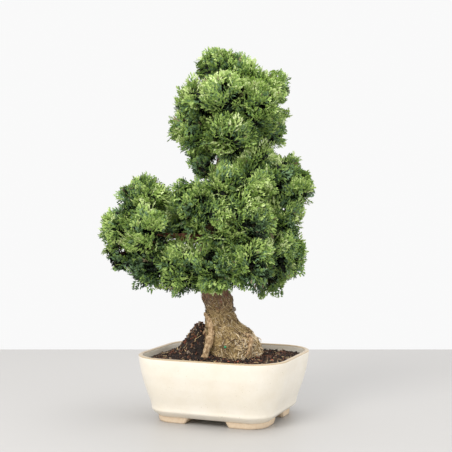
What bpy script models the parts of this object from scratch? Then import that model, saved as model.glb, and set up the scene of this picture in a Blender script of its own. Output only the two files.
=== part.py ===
"""A sawara cypress grown as a bonsai, in a cream glazed pot that stands on four feet.

Metres, +Z up. X runs along the pot's long side and -Y is its front. The tree is laid out in its own
axes, across, deep and high, because it was planted turned in its pot: PLANTING_TURN turns it about the
pot's middle.
"""

import itertools
import math

import bmesh
import bpy
import numpy as np
from mathutils import Vector

# The room left between two pieces that touch
GAP = 0.0003

# The pot: its rim, its wall and its feet
POT_LENGTH = 0.200
POT_WIDTH = 0.178
POT_CORNER = 0.049
POT_WALL = 0.0056
POT_FLOOR = 0.0160
FOOT_HEIGHT = 0.0078
FOOT_SIZE = 0.0495
FOOT_SPLAY = 0.0045
FOOT_DRAFT = 0.0012
FOOT_STEP = 0.0004
FOOT_SUNK = 0.0030
CORNER_STEPS = 5
# How far the wall stands in from the rim at each height, from the underside, over the foot band, to the rim
POT_PROFILE = (
    (FOOT_HEIGHT, 0.0250),
    (0.0140, 0.0174),
    (0.0162, 0.0163),
    (0.0184, 0.0168),
    (0.0260, 0.0148),
    (0.0360, 0.0110),
    (0.0465, 0.0074),
    (0.0624, 0.0031),
    (0.0780, 0.0004),
    (0.0838, 0.0000),
    (0.0850, 0.0014),
)
RIM_ROUNDING = 0.0014

# Soil, with the heap that lies against the trunk's left
SOIL_LEVEL = 0.0725
INNER_HEIGHTS = (POT_FLOOR, 0.0260, 0.0360, 0.0465, 0.0624, SOIL_LEVEL)
SOIL_RINGS = 8
SOCKET_GAP = 0.0006
HEAP_AT = (-0.033, 0.008)
HEAP_HEIGHT = 0.046
HEAP_SPREAD = 0.025
COLLAR_HEIGHT = 0.006
COLLAR_SPREAD = 0.050

# The tree in its pot
PLANTING_TURN = math.radians(21.6)

# The trunk: height, across, deep and radius, from the flat cut at the soil to the tip
TRUNK = (
    (0.0728, 0.0072, 0.0000, 0.0372),
    (0.0930, 0.0068, 0.0000, 0.0350),
    (0.1110, 0.0045, 0.0000, 0.0290),
    (0.1240, -0.0040, 0.0000, 0.0220),
    (0.1360, -0.0062, 0.0000, 0.0178),
    (0.1540, -0.0100, 0.0010, 0.0195),
    (0.1740, -0.0168, 0.0030, 0.0180),
    (0.2050, -0.0212, 0.0045, 0.0155),
    (0.2400, -0.0190, 0.0055, 0.0130),
    (0.2850, -0.0095, 0.0065, 0.0100),
    (0.3350, -0.0030, 0.0030, 0.0078),
    (0.3800, 0.0070, 0.0005, 0.0055),
    (0.4200, 0.0090, 0.0000, 0.0036),
    (0.4480, 0.0100, 0.0000, 0.0016),
)
TRUNK_SIDES = 16
TRUNK_RINGS = 26
FOOT_CROWDING = 1.25
BUTTRESSES = 5
BUTTRESS_DEPTH = 0.10
BUTTRESS_TOP = 0.130
BUTTRESS_PHASE = 0.6

# Roots that lie bare on the trunk's foot: points of across, deep, high, then the radii at both ends
ROOTS = {
    "pale_root": (
        ((-0.019, -0.014, 0.130), (-0.017, -0.023, 0.112), (-0.020, -0.027, 0.094), (-0.026, -0.029, 0.076)),
        (0.0040, 0.0048),
    ),
    "knee_root": (
        ((0.022, -0.020, 0.113), (0.034, -0.020, 0.104), (0.034, -0.023, 0.090), (0.024, -0.032, 0.077)),
        (0.0034, 0.0045),
    ),
    "back_root": (
        ((0.006, 0.022, 0.115), (0.010, 0.032, 0.096), (0.014, 0.038, 0.077)),
        (0.0050, 0.0065),
    ),
}
ROOT_SIDES = 6
ROOT_RINGS = 7
# Points of the trunk that lie closer than this after its roots are joined to it become one
SEAM_WELD = 0.00012

# The masses of foliage: across, deep and high of the heart of each, and its radius
MASSES = {
    "foliage_top_left": (-0.011, 0.000, 0.4530, 0.0275),
    "foliage_top": (0.019, 0.005, 0.4430, 0.0290),
    "foliage_top_right": (0.054, 0.000, 0.4210, 0.0295),
    "foliage_upper_left": (-0.037, 0.000, 0.4050, 0.0300),
    "foliage_upper_left_low": (-0.041, 0.000, 0.3690, 0.0285),
    "foliage_upper_front": (0.002, -0.037, 0.4120, 0.0340),
    "foliage_upper_front_right": (0.040, -0.034, 0.3990, 0.0320),
    "foliage_upper_right_low": (0.052, 0.000, 0.3730, 0.0290),
    "foliage_upper_front_low": (0.008, -0.035, 0.3640, 0.0330),
    "foliage_upper_back_left": (-0.010, 0.038, 0.4130, 0.0340),
    "foliage_upper_back_right": (0.033, 0.038, 0.3880, 0.0350),
    "foliage_neck_left": (-0.025, -0.004, 0.3280, 0.0235),
    "foliage_neck_right": (0.034, -0.014, 0.3360, 0.0290),
    "foliage_neck_back": (-0.008, 0.034, 0.3480, 0.0300),
    "foliage_middle_right": (0.070, 0.000, 0.3140, 0.0290),
    "foliage_middle_right_tip": (0.093, 0.008, 0.2970, 0.0255),
    "foliage_middle_right_low": (0.072, 0.008, 0.2620, 0.0300),
    "foliage_middle_front": (0.036, -0.031, 0.3030, 0.0320),
    "foliage_middle_front_left": (0.000, -0.033, 0.3020, 0.0270),
    "foliage_middle_back": (0.034, 0.038, 0.3040, 0.0360),
    "foliage_lower_front_right": (0.028, -0.045, 0.2560, 0.0350),
    "foliage_lower_front_under": (0.032, -0.040, 0.2060, 0.0340),
    "foliage_lower_right": (0.074, -0.006, 0.2140, 0.0330),
    "foliage_lower_right_drop": (0.056, 0.002, 0.1820, 0.0240),
    "foliage_lower_back_right": (0.050, 0.046, 0.2320, 0.0370),
    "foliage_left_top": (-0.106, 0.000, 0.2830, 0.0300),
    "foliage_left_tip": (-0.136, -0.002, 0.2490, 0.0265),
    "foliage_left_tip_low": (-0.134, -0.002, 0.2120, 0.0270),
    "foliage_left_front": (-0.096, -0.030, 0.2380, 0.0330),
    "foliage_left_back": (-0.104, 0.036, 0.2330, 0.0370),
    "foliage_left_inner": (-0.041, -0.028, 0.2750, 0.0330),
    "foliage_left_low": (-0.096, -0.010, 0.1960, 0.0310),
    "foliage_left_under": (-0.054, -0.026, 0.1960, 0.0320),
    "foliage_left_back_inner": (-0.058, 0.034, 0.2560, 0.0410),
    "foliage_centre_low": (-0.010, -0.046, 0.1990, 0.0290),
    "foliage_centre_front": (-0.011, -0.040, 0.2530, 0.0290),
}
MASS_GAP = 0.0010
LIMB_GAP = 0.0008
CORE_SHARE = 0.75
CORE_PLANE_SHARE = 0.90
CORE_LIMB_GAP = 0.0020
# A core's facet is tried at this many steps along each edge, and a corner too near a limb is drawn in
FACET_STEPS = 6
DRAWINGS_IN = 40
DRAWN_IN = 0.93
STEM_RADIUS = 0.0016
STEM_SIDES = 5
STEM_REACH = 0.040
STEM_DROP = 0.012
# Twigs, and how far out each ends and its spray begins, as shares of the mass's radius
TWIGS = 11
TWIG_RADIUS = 0.0010
TWIG_JITTER = 0.06
STANDING = (0.78, 0.62)
SUNK = (0.55, 0.42)
TIP_SHARE = 0.99
SPRAY_WIDTH = 0.70
SPRAY_SWING = (-0.45, 0.45)
SPRAY_THICKNESS = 0.0016
SPRAY_SIZES = (1.0, 0.9, 0.8, 0.7, 0.6)
# A spray seen flat, as shares of its length and half width: its root, then a tooth and a notch on each side
SPRAY_OUTLINE = ((0.0, 0.0), (0.45, 0.95), (0.62, 0.45), (1.0, 0.0), (0.68, -0.48), (0.52, -1.0))
SPRAY_MIDDLE = 0.48
SEED = 11
DRAWS = 12
WELD = 0.000002

# The boughs: the mass that each carries, the limb that it leaves, and how far along that limb, as a height on
# the trunk or as a share of a bough
BOUGHS = {
    "bough_top_left": ("foliage_top_left", "trunk", 0.402),
    "bough_top_right": ("foliage_top_right", "trunk", 0.392),
    "bough_upper_left": ("foliage_upper_left", "trunk", 0.380),
    "bough_upper_left_low": ("foliage_upper_left_low", "trunk", 0.345),
    "bough_upper_right_low": ("foliage_upper_right_low", "trunk", 0.352),
    "bough_upper_front_right": ("foliage_upper_front_right", "trunk", 0.378),
    "bough_middle_right": ("foliage_middle_right", "trunk", 0.300),
    "bough_middle_front": ("foliage_middle_front", "trunk", 0.282),
    "bough_right": ("foliage_middle_right_low", "trunk", 0.250),
    "bough_right_tip": ("foliage_middle_right_tip", "trunk", 0.268),
    "bough_lower_front_right": ("foliage_lower_front_right", "trunk", 0.236),
    "bough_lower_front_under": ("foliage_lower_front_under", "trunk", 0.199),
    "bough_lower_back_right": ("foliage_lower_back_right", "trunk", 0.222),
    "bough_lower_right": ("foliage_lower_right", "trunk", 0.212),
    "bough_lower_right_drop": ("foliage_lower_right_drop", "bough_lower_right", 0.55),
    "bough_left": ("foliage_left_tip", "trunk", 0.236),
    "bough_left_top": ("foliage_left_top", "bough_left", 0.60),
    "bough_left_tip_low": ("foliage_left_tip_low", "bough_left", 0.78),
    "bough_left_front": ("foliage_left_front", "bough_left", 0.52),
    "bough_left_back": ("foliage_left_back", "bough_left", 0.46),
    "bough_left_low": ("foliage_left_low", "bough_left", 0.36),
}
BOUGH_SIDES = 6
BOUGH_RINGS = 5
BOUGH_ENTRY = 0.80
BOUGH_BOW = 0.09
BOUGH_THICKNESS = (0.0021, 0.019)
BOUGH_TAPER = 0.45
BOUGH_SHARE = 0.75
# A limb's start is moved out from the limb that it leaves by steps, until all of it is clear
LEAVING_STEP = 0.0002
LEAVING_TRIES = 200

# Finishes: base colour, roughness, metallic
FINISHES = {
    "glaze": ((0.86, 0.79, 0.62), 0.32, 0.0),
    "soil": ((0.045, 0.028, 0.018), 0.95, 0.0),
    "bark": ((0.23, 0.14, 0.08), 0.90, 0.0),
    "young_bark": ((0.26, 0.11, 0.06), 0.85, 0.0),
    "foliage": ((0.10, 0.22, 0.03), 0.60, 0.0),
}


def clear_scene():
    for obj in list(bpy.data.objects):
        bpy.data.objects.remove(obj, do_unlink=True)


def finish(name):
    """The material of that name, made once from FINISHES."""
    material = bpy.data.materials.get(name)
    if material is None:
        colour, roughness, metallic = FINISHES[name]
        material = bpy.data.materials.new(name)
        material.use_nodes = True
        shader = material.node_tree.nodes["Principled BSDF"]
        shader.inputs["Base Color"].default_value = (*colour, 1.0)
        shader.inputs["Roughness"].default_value = roughness
        shader.inputs["Metallic"].default_value = metallic
    return material


def empty(name, parent=None, turn=0.0):
    obj = bpy.data.objects.new(name, None)
    bpy.context.scene.collection.objects.link(obj)
    obj.parent = parent
    obj.rotation_euler.z = turn
    return obj


def solid(name, shape, material, parent=None, smooth=True):
    """An object made from a shape, which is a pair of lists: its points and its faces."""
    mesh = bpy.data.meshes.new(name)
    mesh.from_pydata([tuple(p) for p in shape[0]], [], shape[1])
    mesh.materials.append(finish(material))
    if smooth:
        mesh.shade_smooth()
        mesh.set_sharp_from_angle(angle=math.radians(40))
    obj = bpy.data.objects.new(name, mesh)
    bpy.context.scene.collection.objects.link(obj)
    obj.parent = parent
    return obj


def loft(rings):
    """Closed rings of equal count, joined in order, with a flat cap on the first and the last."""
    count = len(rings[0])
    points = [p for ring in rings for p in ring]
    faces = [list(range(count))[::-1], [(len(rings) - 1) * count + k for k in range(count)]]
    for i in range(len(rings) - 1):
        for k in range(count):
            after = (k + 1) % count
            low, high = i * count, (i + 1) * count
            faces.append([low + k, low + after, high + after, high + k])
    return points, faces


def rounded_rectangle(length, width, corner, height):
    """The points of a rectangle with round corners, anticlockwise from above."""
    points = []
    for quarter, (along, over) in enumerate(((1, 1), (-1, 1), (-1, -1), (1, -1))):
        centre = (along * (length / 2 - corner), over * (width / 2 - corner))
        for step in range(CORNER_STEPS + 1):
            angle = math.pi / 2 * (quarter + step / CORNER_STEPS)
            points.append(
                (centre[0] + corner * math.cos(angle), centre[1] + corner * math.sin(angle), height)
            )
    return points


def pot_ring(inset, height):
    """The pot's outline at that height, where its wall stands in from the rim by inset."""
    return rounded_rectangle(POT_LENGTH - 2 * inset, POT_WIDTH - 2 * inset, POT_CORNER - inset, height)


def wall_inset(height):
    heights = [h for h, _ in POT_PROFILE[:-1]]
    return float(np.interp(height, heights, [i for _, i in POT_PROFILE[:-1]]))


def foot_shape(along, over):
    """One corner foot, which follows the underside's corner, narrows to its sole and is sunk in the floor."""
    corner = POT_CORNER - POT_PROFILE[0][1]
    rings = []
    for height, narrow, inset in ((0.0, FOOT_SPLAY, FOOT_DRAFT), (FOOT_HEIGHT + FOOT_SUNK, 0.0, FOOT_STEP)):
        edge = [side / 2 - POT_PROFILE[0][1] - inset for side in (POT_LENGTH, POT_WIDTH)]
        near = [side + inset - FOOT_SIZE + narrow for side in edge]
        ring = [tuple(near), (edge[0], near[1])]
        for step in range(CORNER_STEPS + 1):
            angle = math.pi / 2 * step / CORNER_STEPS
            ring.append((edge[0] - corner * (1 - math.cos(angle)), edge[1] - corner * (1 - math.sin(angle))))
        ring.append((near[0], edge[1]))
        rings.append([(along * x, over * y, height) for x, y in ring])
    if along * over < 0:
        rings = [ring[::-1] for ring in rings]
    return loft(rings)


def unite(target, others):
    """Joins the others to the target by one Boolean union, applies it and removes them."""
    group = bpy.data.collections.new(target.name + "_pieces")
    bpy.context.scene.collection.children.link(group)
    for obj in others:
        bpy.context.scene.collection.objects.unlink(obj)
        group.objects.link(obj)
    union = target.modifiers.new("union", "BOOLEAN")
    union.operation = "UNION"
    union.operand_type = "COLLECTION"
    union.collection = group
    union.solver = "MANIFOLD"
    apply_modifiers(target)
    for obj in list(group.objects):
        bpy.data.objects.remove(obj, do_unlink=True)
    bpy.data.collections.remove(group)
    return target


def apply_modifiers(obj):
    bpy.context.view_layer.update()
    graph = bpy.context.evaluated_depsgraph_get()
    mesh = bpy.data.meshes.new_from_object(obj.evaluated_get(graph))
    obj.modifiers.clear()
    obj.data = mesh


def keep_largest_body(obj):
    """Drops the loose scraps that a union can leave beside its one body."""
    work = bmesh.new()
    work.from_mesh(obj.data)
    left = set(work.verts)
    bodies = []
    while left:
        body = {left.pop()}
        waiting = list(body)
        while waiting:
            vertex = waiting.pop()
            fresh = [e.other_vert(vertex) for e in vertex.link_edges if e.other_vert(vertex) not in body]
            body.update(fresh)
            waiting.extend(fresh)
        left -= body
        bodies.append(body)
    bodies.sort(key=len, reverse=True)
    bmesh.ops.delete(work, geom=[v for body in bodies[1:] for v in body], context="VERTS")
    work.to_mesh(obj.data)
    work.free()


def make_pot(parent):
    outer = [pot_ring(inset, height) for height, inset in POT_PROFILE]
    rim_inner = POT_WALL - RIM_ROUNDING
    inner = [
        pot_ring(rim_inner, POT_PROFILE[-1][0]),
        pot_ring(wall_inset(POT_PROFILE[-2][0]) + POT_WALL, POT_PROFILE[-2][0]),
        *(pot_ring(wall_inset(height) + POT_WALL, height) for height in reversed(INNER_HEIGHTS)),
    ]
    pot = solid("pot", loft(outer + inner), "glaze", parent)
    feet = [
        solid(f"foot_{along}_{over}", foot_shape(along, over), "glaze", parent)
        for along in (-1, 1)
        for over in (-1, 1)
    ]
    return unite(pot, feet)


def soil_height(x, y):
    """The soil's surface, in the tree's axes: level, raised round the trunk and heaped at its left."""
    heap = math.hypot(x - HEAP_AT[0], y - HEAP_AT[1]) / HEAP_SPREAD
    collar = math.hypot(x - TRUNK[0][1], y - TRUNK[0][2]) / COLLAR_SPREAD
    return SOIL_LEVEL + HEAP_HEIGHT * math.exp(-(heap**2)) + COLLAR_HEIGHT * math.exp(-(collar**4))


def make_soil(parent, socket):
    """Soil from the pot's floor up to its uneven surface, with the trunk's foot let into it."""
    clear = POT_WALL + GAP
    rings = [pot_ring(wall_inset(height) + clear, height) for height in INNER_HEIGHTS[:-1]]
    rings[0] = pot_ring(wall_inset(POT_FLOOR + GAP) + clear, POT_FLOOR + GAP)
    edge = pot_ring(wall_inset(SOIL_LEVEL) + clear, SOIL_LEVEL)
    turn = -PLANTING_TURN
    for ring in range(SOIL_RINGS):
        share = 1 - ring / SOIL_RINGS
        row = []
        for x, y, _ in edge:
            x, y = x * share, y * share
            across = x * math.cos(turn) - y * math.sin(turn)
            deep = x * math.sin(turn) + y * math.cos(turn)
            row.append((x, y, soil_height(across, deep)))
        rings.append(row)
    soil = solid("soil", loft(rings), "soil", parent)
    cut = soil.modifiers.new("trunk_socket", "BOOLEAN")
    cut.operation = "DIFFERENCE"
    cut.solver = "EXACT"
    cut.object = socket
    apply_modifiers(soil)
    keep_largest_body(soil)
    return soil


def trunk_station(height):
    """The trunk's middle and radius at a height."""
    heights = [row[0] for row in TRUNK]
    across, deep, radius = (smooth_through(heights, [row[k] for row in TRUNK], height) for k in (1, 2, 3))
    return np.array((across, deep, height)), radius


def smooth_through(places, values, at):
    """A smooth curve through the values: a cubic between each two, sloped by the values beside them."""
    k = int(np.clip(np.searchsorted(places, at) - 1, 0, len(places) - 2))
    span = places[k + 1] - places[k]
    t = (at - places[k]) / span

    def slope(i):
        low, high = max(i - 1, 0), min(i + 1, len(places) - 1)
        return (values[high] - values[low]) / (places[high] - places[low]) * span

    start, end = values[k], values[k + 1]
    return (
        (2 * t**3 - 3 * t**2 + 1) * start
        + (t**3 - 2 * t**2 + t) * slope(k)
        + (3 * t**2 - 2 * t**3) * end
        + (t**3 - t**2) * slope(k + 1)
    )


def trunk_heights(foot_height):
    """The heights of the trunk's rings, closer together at its foot."""
    return foot_height + (TRUNK[-1][0] - foot_height) * np.linspace(0, 1, TRUNK_RINGS) ** FOOT_CROWDING


def trunk_shape(grow):
    """The trunk's own tube, with its foot drawn out into buttresses."""
    rings = []
    for height in trunk_heights(TRUNK[0][0] - min(grow, GAP)):
        middle, radius = trunk_station(max(height, TRUNK[0][0]))
        flare = max(0.0, (BUTTRESS_TOP - height) / (BUTTRESS_TOP - TRUNK[0][0]))
        row = []
        for side in range(TRUNK_SIDES):
            angle = 2 * math.pi * side / TRUNK_SIDES
            lobe = 1 + BUTTRESS_DEPTH * flare * math.cos(BUTTRESSES * angle + BUTTRESS_PHASE)
            reach = radius * lobe + grow
            row.append((middle[0] + reach * math.cos(angle), middle[1] + reach * math.sin(angle), height))
        rings.append(row)
    return loft(rings)


def unit(v):
    return v / np.linalg.norm(v)


def across_of(direction):
    """Two directions across the given one, the second as near upright as it can be."""
    aside = np.cross(direction, (0.0, 0.0, 1.0))
    if np.linalg.norm(aside) < 1e-6:
        aside = np.cross(direction, (1.0, 0.0, 0.0))
    aside = unit(aside)
    return aside, np.cross(aside, direction)


def tube(points, radii, sides):
    """A tapering limb along the points, with flat ends."""
    points = [np.array(p, float) for p in points]
    rings = []
    aside = None
    for k, point in enumerate(points):
        along = unit(points[min(k + 1, len(points) - 1)] - points[max(k - 1, 0)])
        if aside is None:
            aside, over = across_of(along)
        else:
            aside = unit(aside - along * (aside @ along))
            over = np.cross(along, aside) * -1
        rings.append(
            [
                point + radii[k] * (math.cos(a) * aside - math.sin(a) * over)
                for a in (2 * math.pi * s / sides for s in range(sides))
            ]
        )
    return loft(rings)


def bezier(points, count):
    """Evenly stepped points on the smooth curve that a few control points give."""
    points = np.array(points, float)
    steps = []
    for t in np.linspace(0, 1, count):
        row = points
        while len(row) > 1:
            row = row[:-1] * (1 - t) + row[1:] * t
        steps.append(row[0])
    return steps


def make_trunk(name, material, parent, grow=0.0):
    """The trunk with its bare roots, or the same shape grown all round, as the soil's socket for it."""
    trunk = solid(name, trunk_shape(grow), material, parent)
    roots = []
    for root, (route, radii) in ROOTS.items():
        path = bezier(route, ROOT_RINGS)
        path = [np.array((p[0], p[1], max(p[2], TRUNK[0][0] + radii[1]))) for p in path]
        path[-1] = path[-1] + unit(path[-1] - path[-2]) * grow
        thick = np.linspace(*radii, ROOT_RINGS) + grow
        roots.append(solid(f"{name}_{root}", tube(path, thick, ROOT_SIDES), material, parent))
    unite(trunk, roots)
    weld_seams(trunk)
    return trunk


def weld_seams(obj):
    """Takes out the slivers that a union leaves where two skins meet, and splits all faces into triangles."""
    work = bmesh.new()
    work.from_mesh(obj.data)
    bmesh.ops.remove_doubles(work, verts=work.verts, dist=SEAM_WELD)
    bmesh.ops.dissolve_degenerate(work, edges=work.edges, dist=SEAM_WELD)
    bmesh.ops.triangulate(work, faces=work.faces)
    work.to_mesh(obj.data)
    work.free()


class Limbs:
    """The trunk and the boughs made so far, as rows of balls that a twig or a spray keeps clear of."""

    def __init__(self):
        self.middles = np.zeros((0, 3))
        self.radii = np.zeros(0)

    def add(self, points, radii, step=0.001):
        points = np.array(points, float)
        for k in range(len(points) - 1):
            count = max(2, int(np.linalg.norm(points[k + 1] - points[k]) / step))
            t = np.linspace(0, 1, count)[:, None]
            self.middles = np.vstack((self.middles, points[k] * (1 - t) + points[k + 1] * t))
            self.radii = np.append(self.radii, np.interp(t[:, 0], (0, 1), (radii[k], radii[k + 1])))

    def near(self, heart, reach):
        """The same limbs, less every ball that is further than reach from a place."""
        kept = Limbs()
        close = np.linalg.norm(self.middles - heart, axis=1) - self.radii < reach
        kept.middles = self.middles[close]
        kept.radii = self.radii[close]
        return kept

    def clearance(self, points):
        """How far each point is from the nearest limb's surface."""
        away = np.linalg.norm(np.asarray(points)[:, None, :] - self.middles[None], axis=2)
        return (away - self.radii[None]).min(axis=1, initial=1.0)


class Space:
    """The room that one mass keeps to: a ball, cut by a plane towards each neighbour."""

    def __init__(self, name):
        *heart, self.radius = MASSES[name]
        self.heart = np.array(heart)
        self.normals, self.offsets = [], []
        for other, (*place, radius) in MASSES.items():
            if other == name:
                continue
            line = np.array(place) - self.heart
            apart = np.linalg.norm(line)
            self.normals.append(line / apart)
            self.offsets.append(apart * self.radius / (self.radius + radius) - MASS_GAP / 2)
        self.normals = np.array(self.normals)
        self.offsets = np.array(self.offsets)

    def within_planes(self, points):
        return bool((((np.asarray(points) - self.heart) @ self.normals.T) <= self.offsets).all())

    def holds(self, points):
        away = np.linalg.norm(np.asarray(points) - self.heart, axis=1)
        return bool((away <= self.radius).all()) and self.within_planes(points)

    def plane_reach(self, direction):
        """How far a line from the heart runs before it meets a plane."""
        towards = self.normals @ direction
        facing = towards > 1e-6
        return float((self.offsets[facing] / towards[facing]).min(initial=1.0))


def line_samples(start, end, count=24):
    t = np.linspace(0, 1, count)[:, None]
    return np.array(start) * (1 - t) + np.array(end) * t


def limb_off(middle, thick, bow, tip, radii, sides, limbs):
    """The path of a limb that leaves another's side, from the nearest start that keeps all of it clear."""
    leaving = unit(bow - middle)
    for step in range(LEAVING_TRIES):
        path = bezier((middle + leaving * (thick + step * LEAVING_STEP), bow, tip), len(radii))
        rings = np.array(tube(path, radii, sides)[0]).reshape(len(radii), sides, 3)
        shares = np.linspace(0, 1, FACET_STEPS)
        skin = np.concatenate([rings[:-1] * (1 - share) + rings[1:] * share for share in shares])
        if limbs.clearance(skin.reshape(-1, 3)).min() > GAP:
            return path
    return None


def make_boughs(parent, limbs):
    """Every bough, as one tapering limb from its parent limb's side to where it enters its mass."""
    routes = {}
    for name, (mass, carrier, place) in BOUGHS.items():
        space = Space(mass)
        if carrier == "trunk":
            middle, thick = trunk_station(place)
        else:
            route, radii = routes[carrier]
            at = place * (len(route) - 1)
            k = int(at)
            middle = route[k] + (route[k + 1] - route[k]) * (at - k)
            thick = float(np.interp(at, range(len(radii)), radii))
        length = np.linalg.norm(space.heart - middle)
        tip = space.heart + unit(middle - space.heart) * space.radius * BOUGH_ENTRY
        bow = (middle + tip) / 2 + np.array((0, 0, -BOUGH_BOW * length))
        radius = min(BOUGH_THICKNESS[0] + BOUGH_THICKNESS[1] * length, BOUGH_SHARE * thick)
        radii = np.linspace(radius, radius * BOUGH_TAPER, BOUGH_RINGS)
        route = limb_off(middle, thick, bow, tip, radii, BOUGH_SIDES, limbs)
        solid(name, tube(route, radii, BOUGH_SIDES), "young_bark", parent)
        routes[name] = (route, radii)
        limbs.add(route, radii)
    return routes


def stem_start(space, name, routes, limbs):
    """Where a mass's stem begins: just off its bough's tip, or off the trunk at the best height for it."""
    for bough, (mass, _, _) in BOUGHS.items():
        if mass == name:
            route, _ = routes[bough]
            along = unit(route[-1] - route[-2])
            return route[-1] + along * (GAP + 0.0001)
    best = None
    limbs = limbs.near(space.heart, space.radius + STEM_REACH)
    for drop in np.arange(-STEM_REACH, STEM_REACH, 0.004):
        height = float(np.clip(space.heart[2] - drop, TRUNK[5][0], TRUNK[-1][0]))
        middle, thick = trunk_station(height)
        cost = np.linalg.norm(space.heart - middle) + 0.3 * abs(drop - STEM_DROP)
        if best is not None and cost > best[0]:
            continue
        bow = (middle + space.heart) / 2
        route = limb_off(middle, thick, bow, space.heart, [STEM_RADIUS] * 3, STEM_SIDES, limbs)
        if route and space.within_planes(line_samples(route[0], space.heart)):
            best = (cost, route[0])
    if best is None:
        raise RuntimeError(f"{name} reaches neither a bough nor the trunk")
    return best[1]


def core_ball(rng):
    """Directions to the corners of a twenty-sided ball, turned at random, and its faces."""
    golden = (1 + math.sqrt(5)) / 2
    corners = [
        unit(np.roll((0.0, a, b * golden), shift)) for shift in range(3) for a in (-1, 1) for b in (-1, 1)
    ]
    reach = min(np.linalg.norm(corners[0] - corner) for corner in corners[1:]) * 1.1
    faces = []
    for one, two, three in itertools.combinations(range(12), 3):
        trio = [corners[one], corners[two], corners[three]]
        if max(np.linalg.norm(trio[k] - trio[k - 1]) for k in range(3)) < reach:
            outward = np.dot(trio[0], np.cross(trio[1], trio[2])) > 0
            faces.append([one, two, three] if outward else [one, three, two])
    turn, _ = np.linalg.qr(rng.normal(size=(3, 3)))
    turn *= np.linalg.det(turn)
    return [turn @ corner for corner in corners], faces


def core_shape(space, limbs, ball):
    """The dense middle of a mass: a faceted ball, drawn in from its neighbours and from the limbs."""
    corners, faces = ball
    reach = np.array(
        [min(CORE_SHARE, CORE_PLANE_SHARE * space.plane_reach(way) / space.radius) for way in corners]
    )
    steps = FACET_STEPS
    weights = [(a, b, steps - a - b) for a in range(steps + 1) for b in range(steps + 1 - a)]
    weights = np.array(weights) / steps
    for _ in range(DRAWINGS_IN):
        points = space.heart + np.array(corners) * reach[:, None] * space.radius
        touching = {
            corner
            for face in faces
            if limbs.clearance(weights @ points[face]).min() < CORE_LIMB_GAP
            for corner in face
        }
        if not touching:
            break
        reach[list(touching)] *= DRAWN_IN
    return points, faces


def spray_shape(root, along, aside, length, width):
    """A flat spray of scaly twigs as a toothed blade, thick at its middle and thin at its edge."""
    normal = np.cross(along, aside)
    points = [root + along * length * x + aside * width / 2 * y for x, y in SPRAY_OUTLINE]
    middle = root + along * length * SPRAY_MIDDLE
    points += [middle + normal * SPRAY_THICKNESS / 2, middle - normal * SPRAY_THICKNESS / 2]
    count = len(SPRAY_OUTLINE)
    faces = []
    for k in range(count):
        after = (k + 1) % count
        faces.append([after, k, count])
        faces.append([k, after, count + 1])
    return points, faces


def spray_samples(shape):
    """Points all over a spray, to test against its space and the limbs."""
    points = np.array(shape[0])
    middle = points[-1]
    rows = [points]
    for share in (0.33, 0.66):
        rows.append(middle + (points - middle) * share)
    rows.append((points[:-2] + np.roll(points[:-2], 1, axis=0)) / 2)
    return np.vstack(rows)


def fits(samples, space, limbs):
    return space.holds(samples) and limbs.clearance(samples).min() > LIMB_GAP


def mass_pieces(space, start, limbs, ball, rng):
    """The stem, twigs and sprays of one mass, as shapes.

    A twig runs from the stem's end out through the middle of each facet of the core, the clearest first, and
    carries a spray. Every third one stands well out of the core before its spray begins.
    """
    pieces = [tube([start, (start + space.heart) / 2, space.heart], [STEM_RADIUS] * 3, STEM_SIDES)]
    corners, faces = ball
    directions = [unit(sum(corners[k] for k in face)) for face in faces]
    directions.sort(key=lambda way: -space.plane_reach(way) * rng.uniform(0.85, 1.0))
    for k, direction in enumerate(directions[:TWIGS]):
        direction = unit(direction + rng.normal(0, TWIG_JITTER, 3))
        twig_share, root_share = STANDING if k % 3 == 0 else SUNK
        fork = space.heart + direction * twig_share * space.radius
        way = line_samples(space.heart, fork)
        if not space.holds(way) or limbs.clearance(way[4:]).min() < TWIG_RADIUS + LIMB_GAP:
            continue
        pieces.append(tube([space.heart, fork], [TWIG_RADIUS, TWIG_RADIUS], 3))
        aside, over = across_of(direction)
        roll = rng.uniform(0, 2 * math.pi)
        plane = math.cos(roll) * aside + math.sin(roll) * over
        swing = rng.uniform(*SPRAY_SWING)
        along = unit(direction * math.cos(swing) + np.cross(direction, plane) * math.sin(swing))
        root = space.heart + direction * root_share * space.radius
        side_reach = root_share * math.sin(swing)
        length = math.sqrt(TIP_SHARE**2 - side_reach**2) - root_share * math.cos(swing)
        for size in SPRAY_SIZES:
            long = length * size * space.radius
            shape = spray_shape(root, along, plane, long, SPRAY_WIDTH * size * space.radius)
            if fits(spray_samples(shape), space, limbs):
                pieces.append(shape)
                break
    return pieces


def is_sound(obj):
    """Whether the mesh is one closed skin that no edge or point of it touches twice."""
    work = bmesh.new()
    work.from_mesh(obj.data)
    bmesh.ops.remove_doubles(work, verts=work.verts, dist=WELD)
    sound = all(edge.is_manifold for edge in work.edges) and all(vertex.is_manifold for vertex in work.verts)
    work.free()
    return sound


def make_mass(name, number, parent, routes, limbs):
    """One mass of foliage. A draw of twigs that doesn't fuse to one closed skin gives way to the next."""
    space = Space(name)
    start = stem_start(space, name, routes, limbs)
    limbs = limbs.near(space.heart, space.radius + 0.01)
    for draw in range(DRAWS):
        rng = np.random.default_rng((SEED, number, draw))
        ball = core_ball(rng)
        core = solid(name, core_shape(space, limbs, ball), "foliage", parent, smooth=False)
        shapes = mass_pieces(space, start, limbs, ball, rng)
        pieces = [
            solid(f"{name}_piece_{k}", shape, "foliage", parent, smooth=False)
            for k, shape in enumerate(shapes)
        ]
        unite(core, pieces)
        keep_largest_body(core)
        if is_sound(core):
            return core
        bpy.data.objects.remove(core, do_unlink=True)
    raise RuntimeError(f"{name} doesn't fuse to one closed skin")


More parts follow.
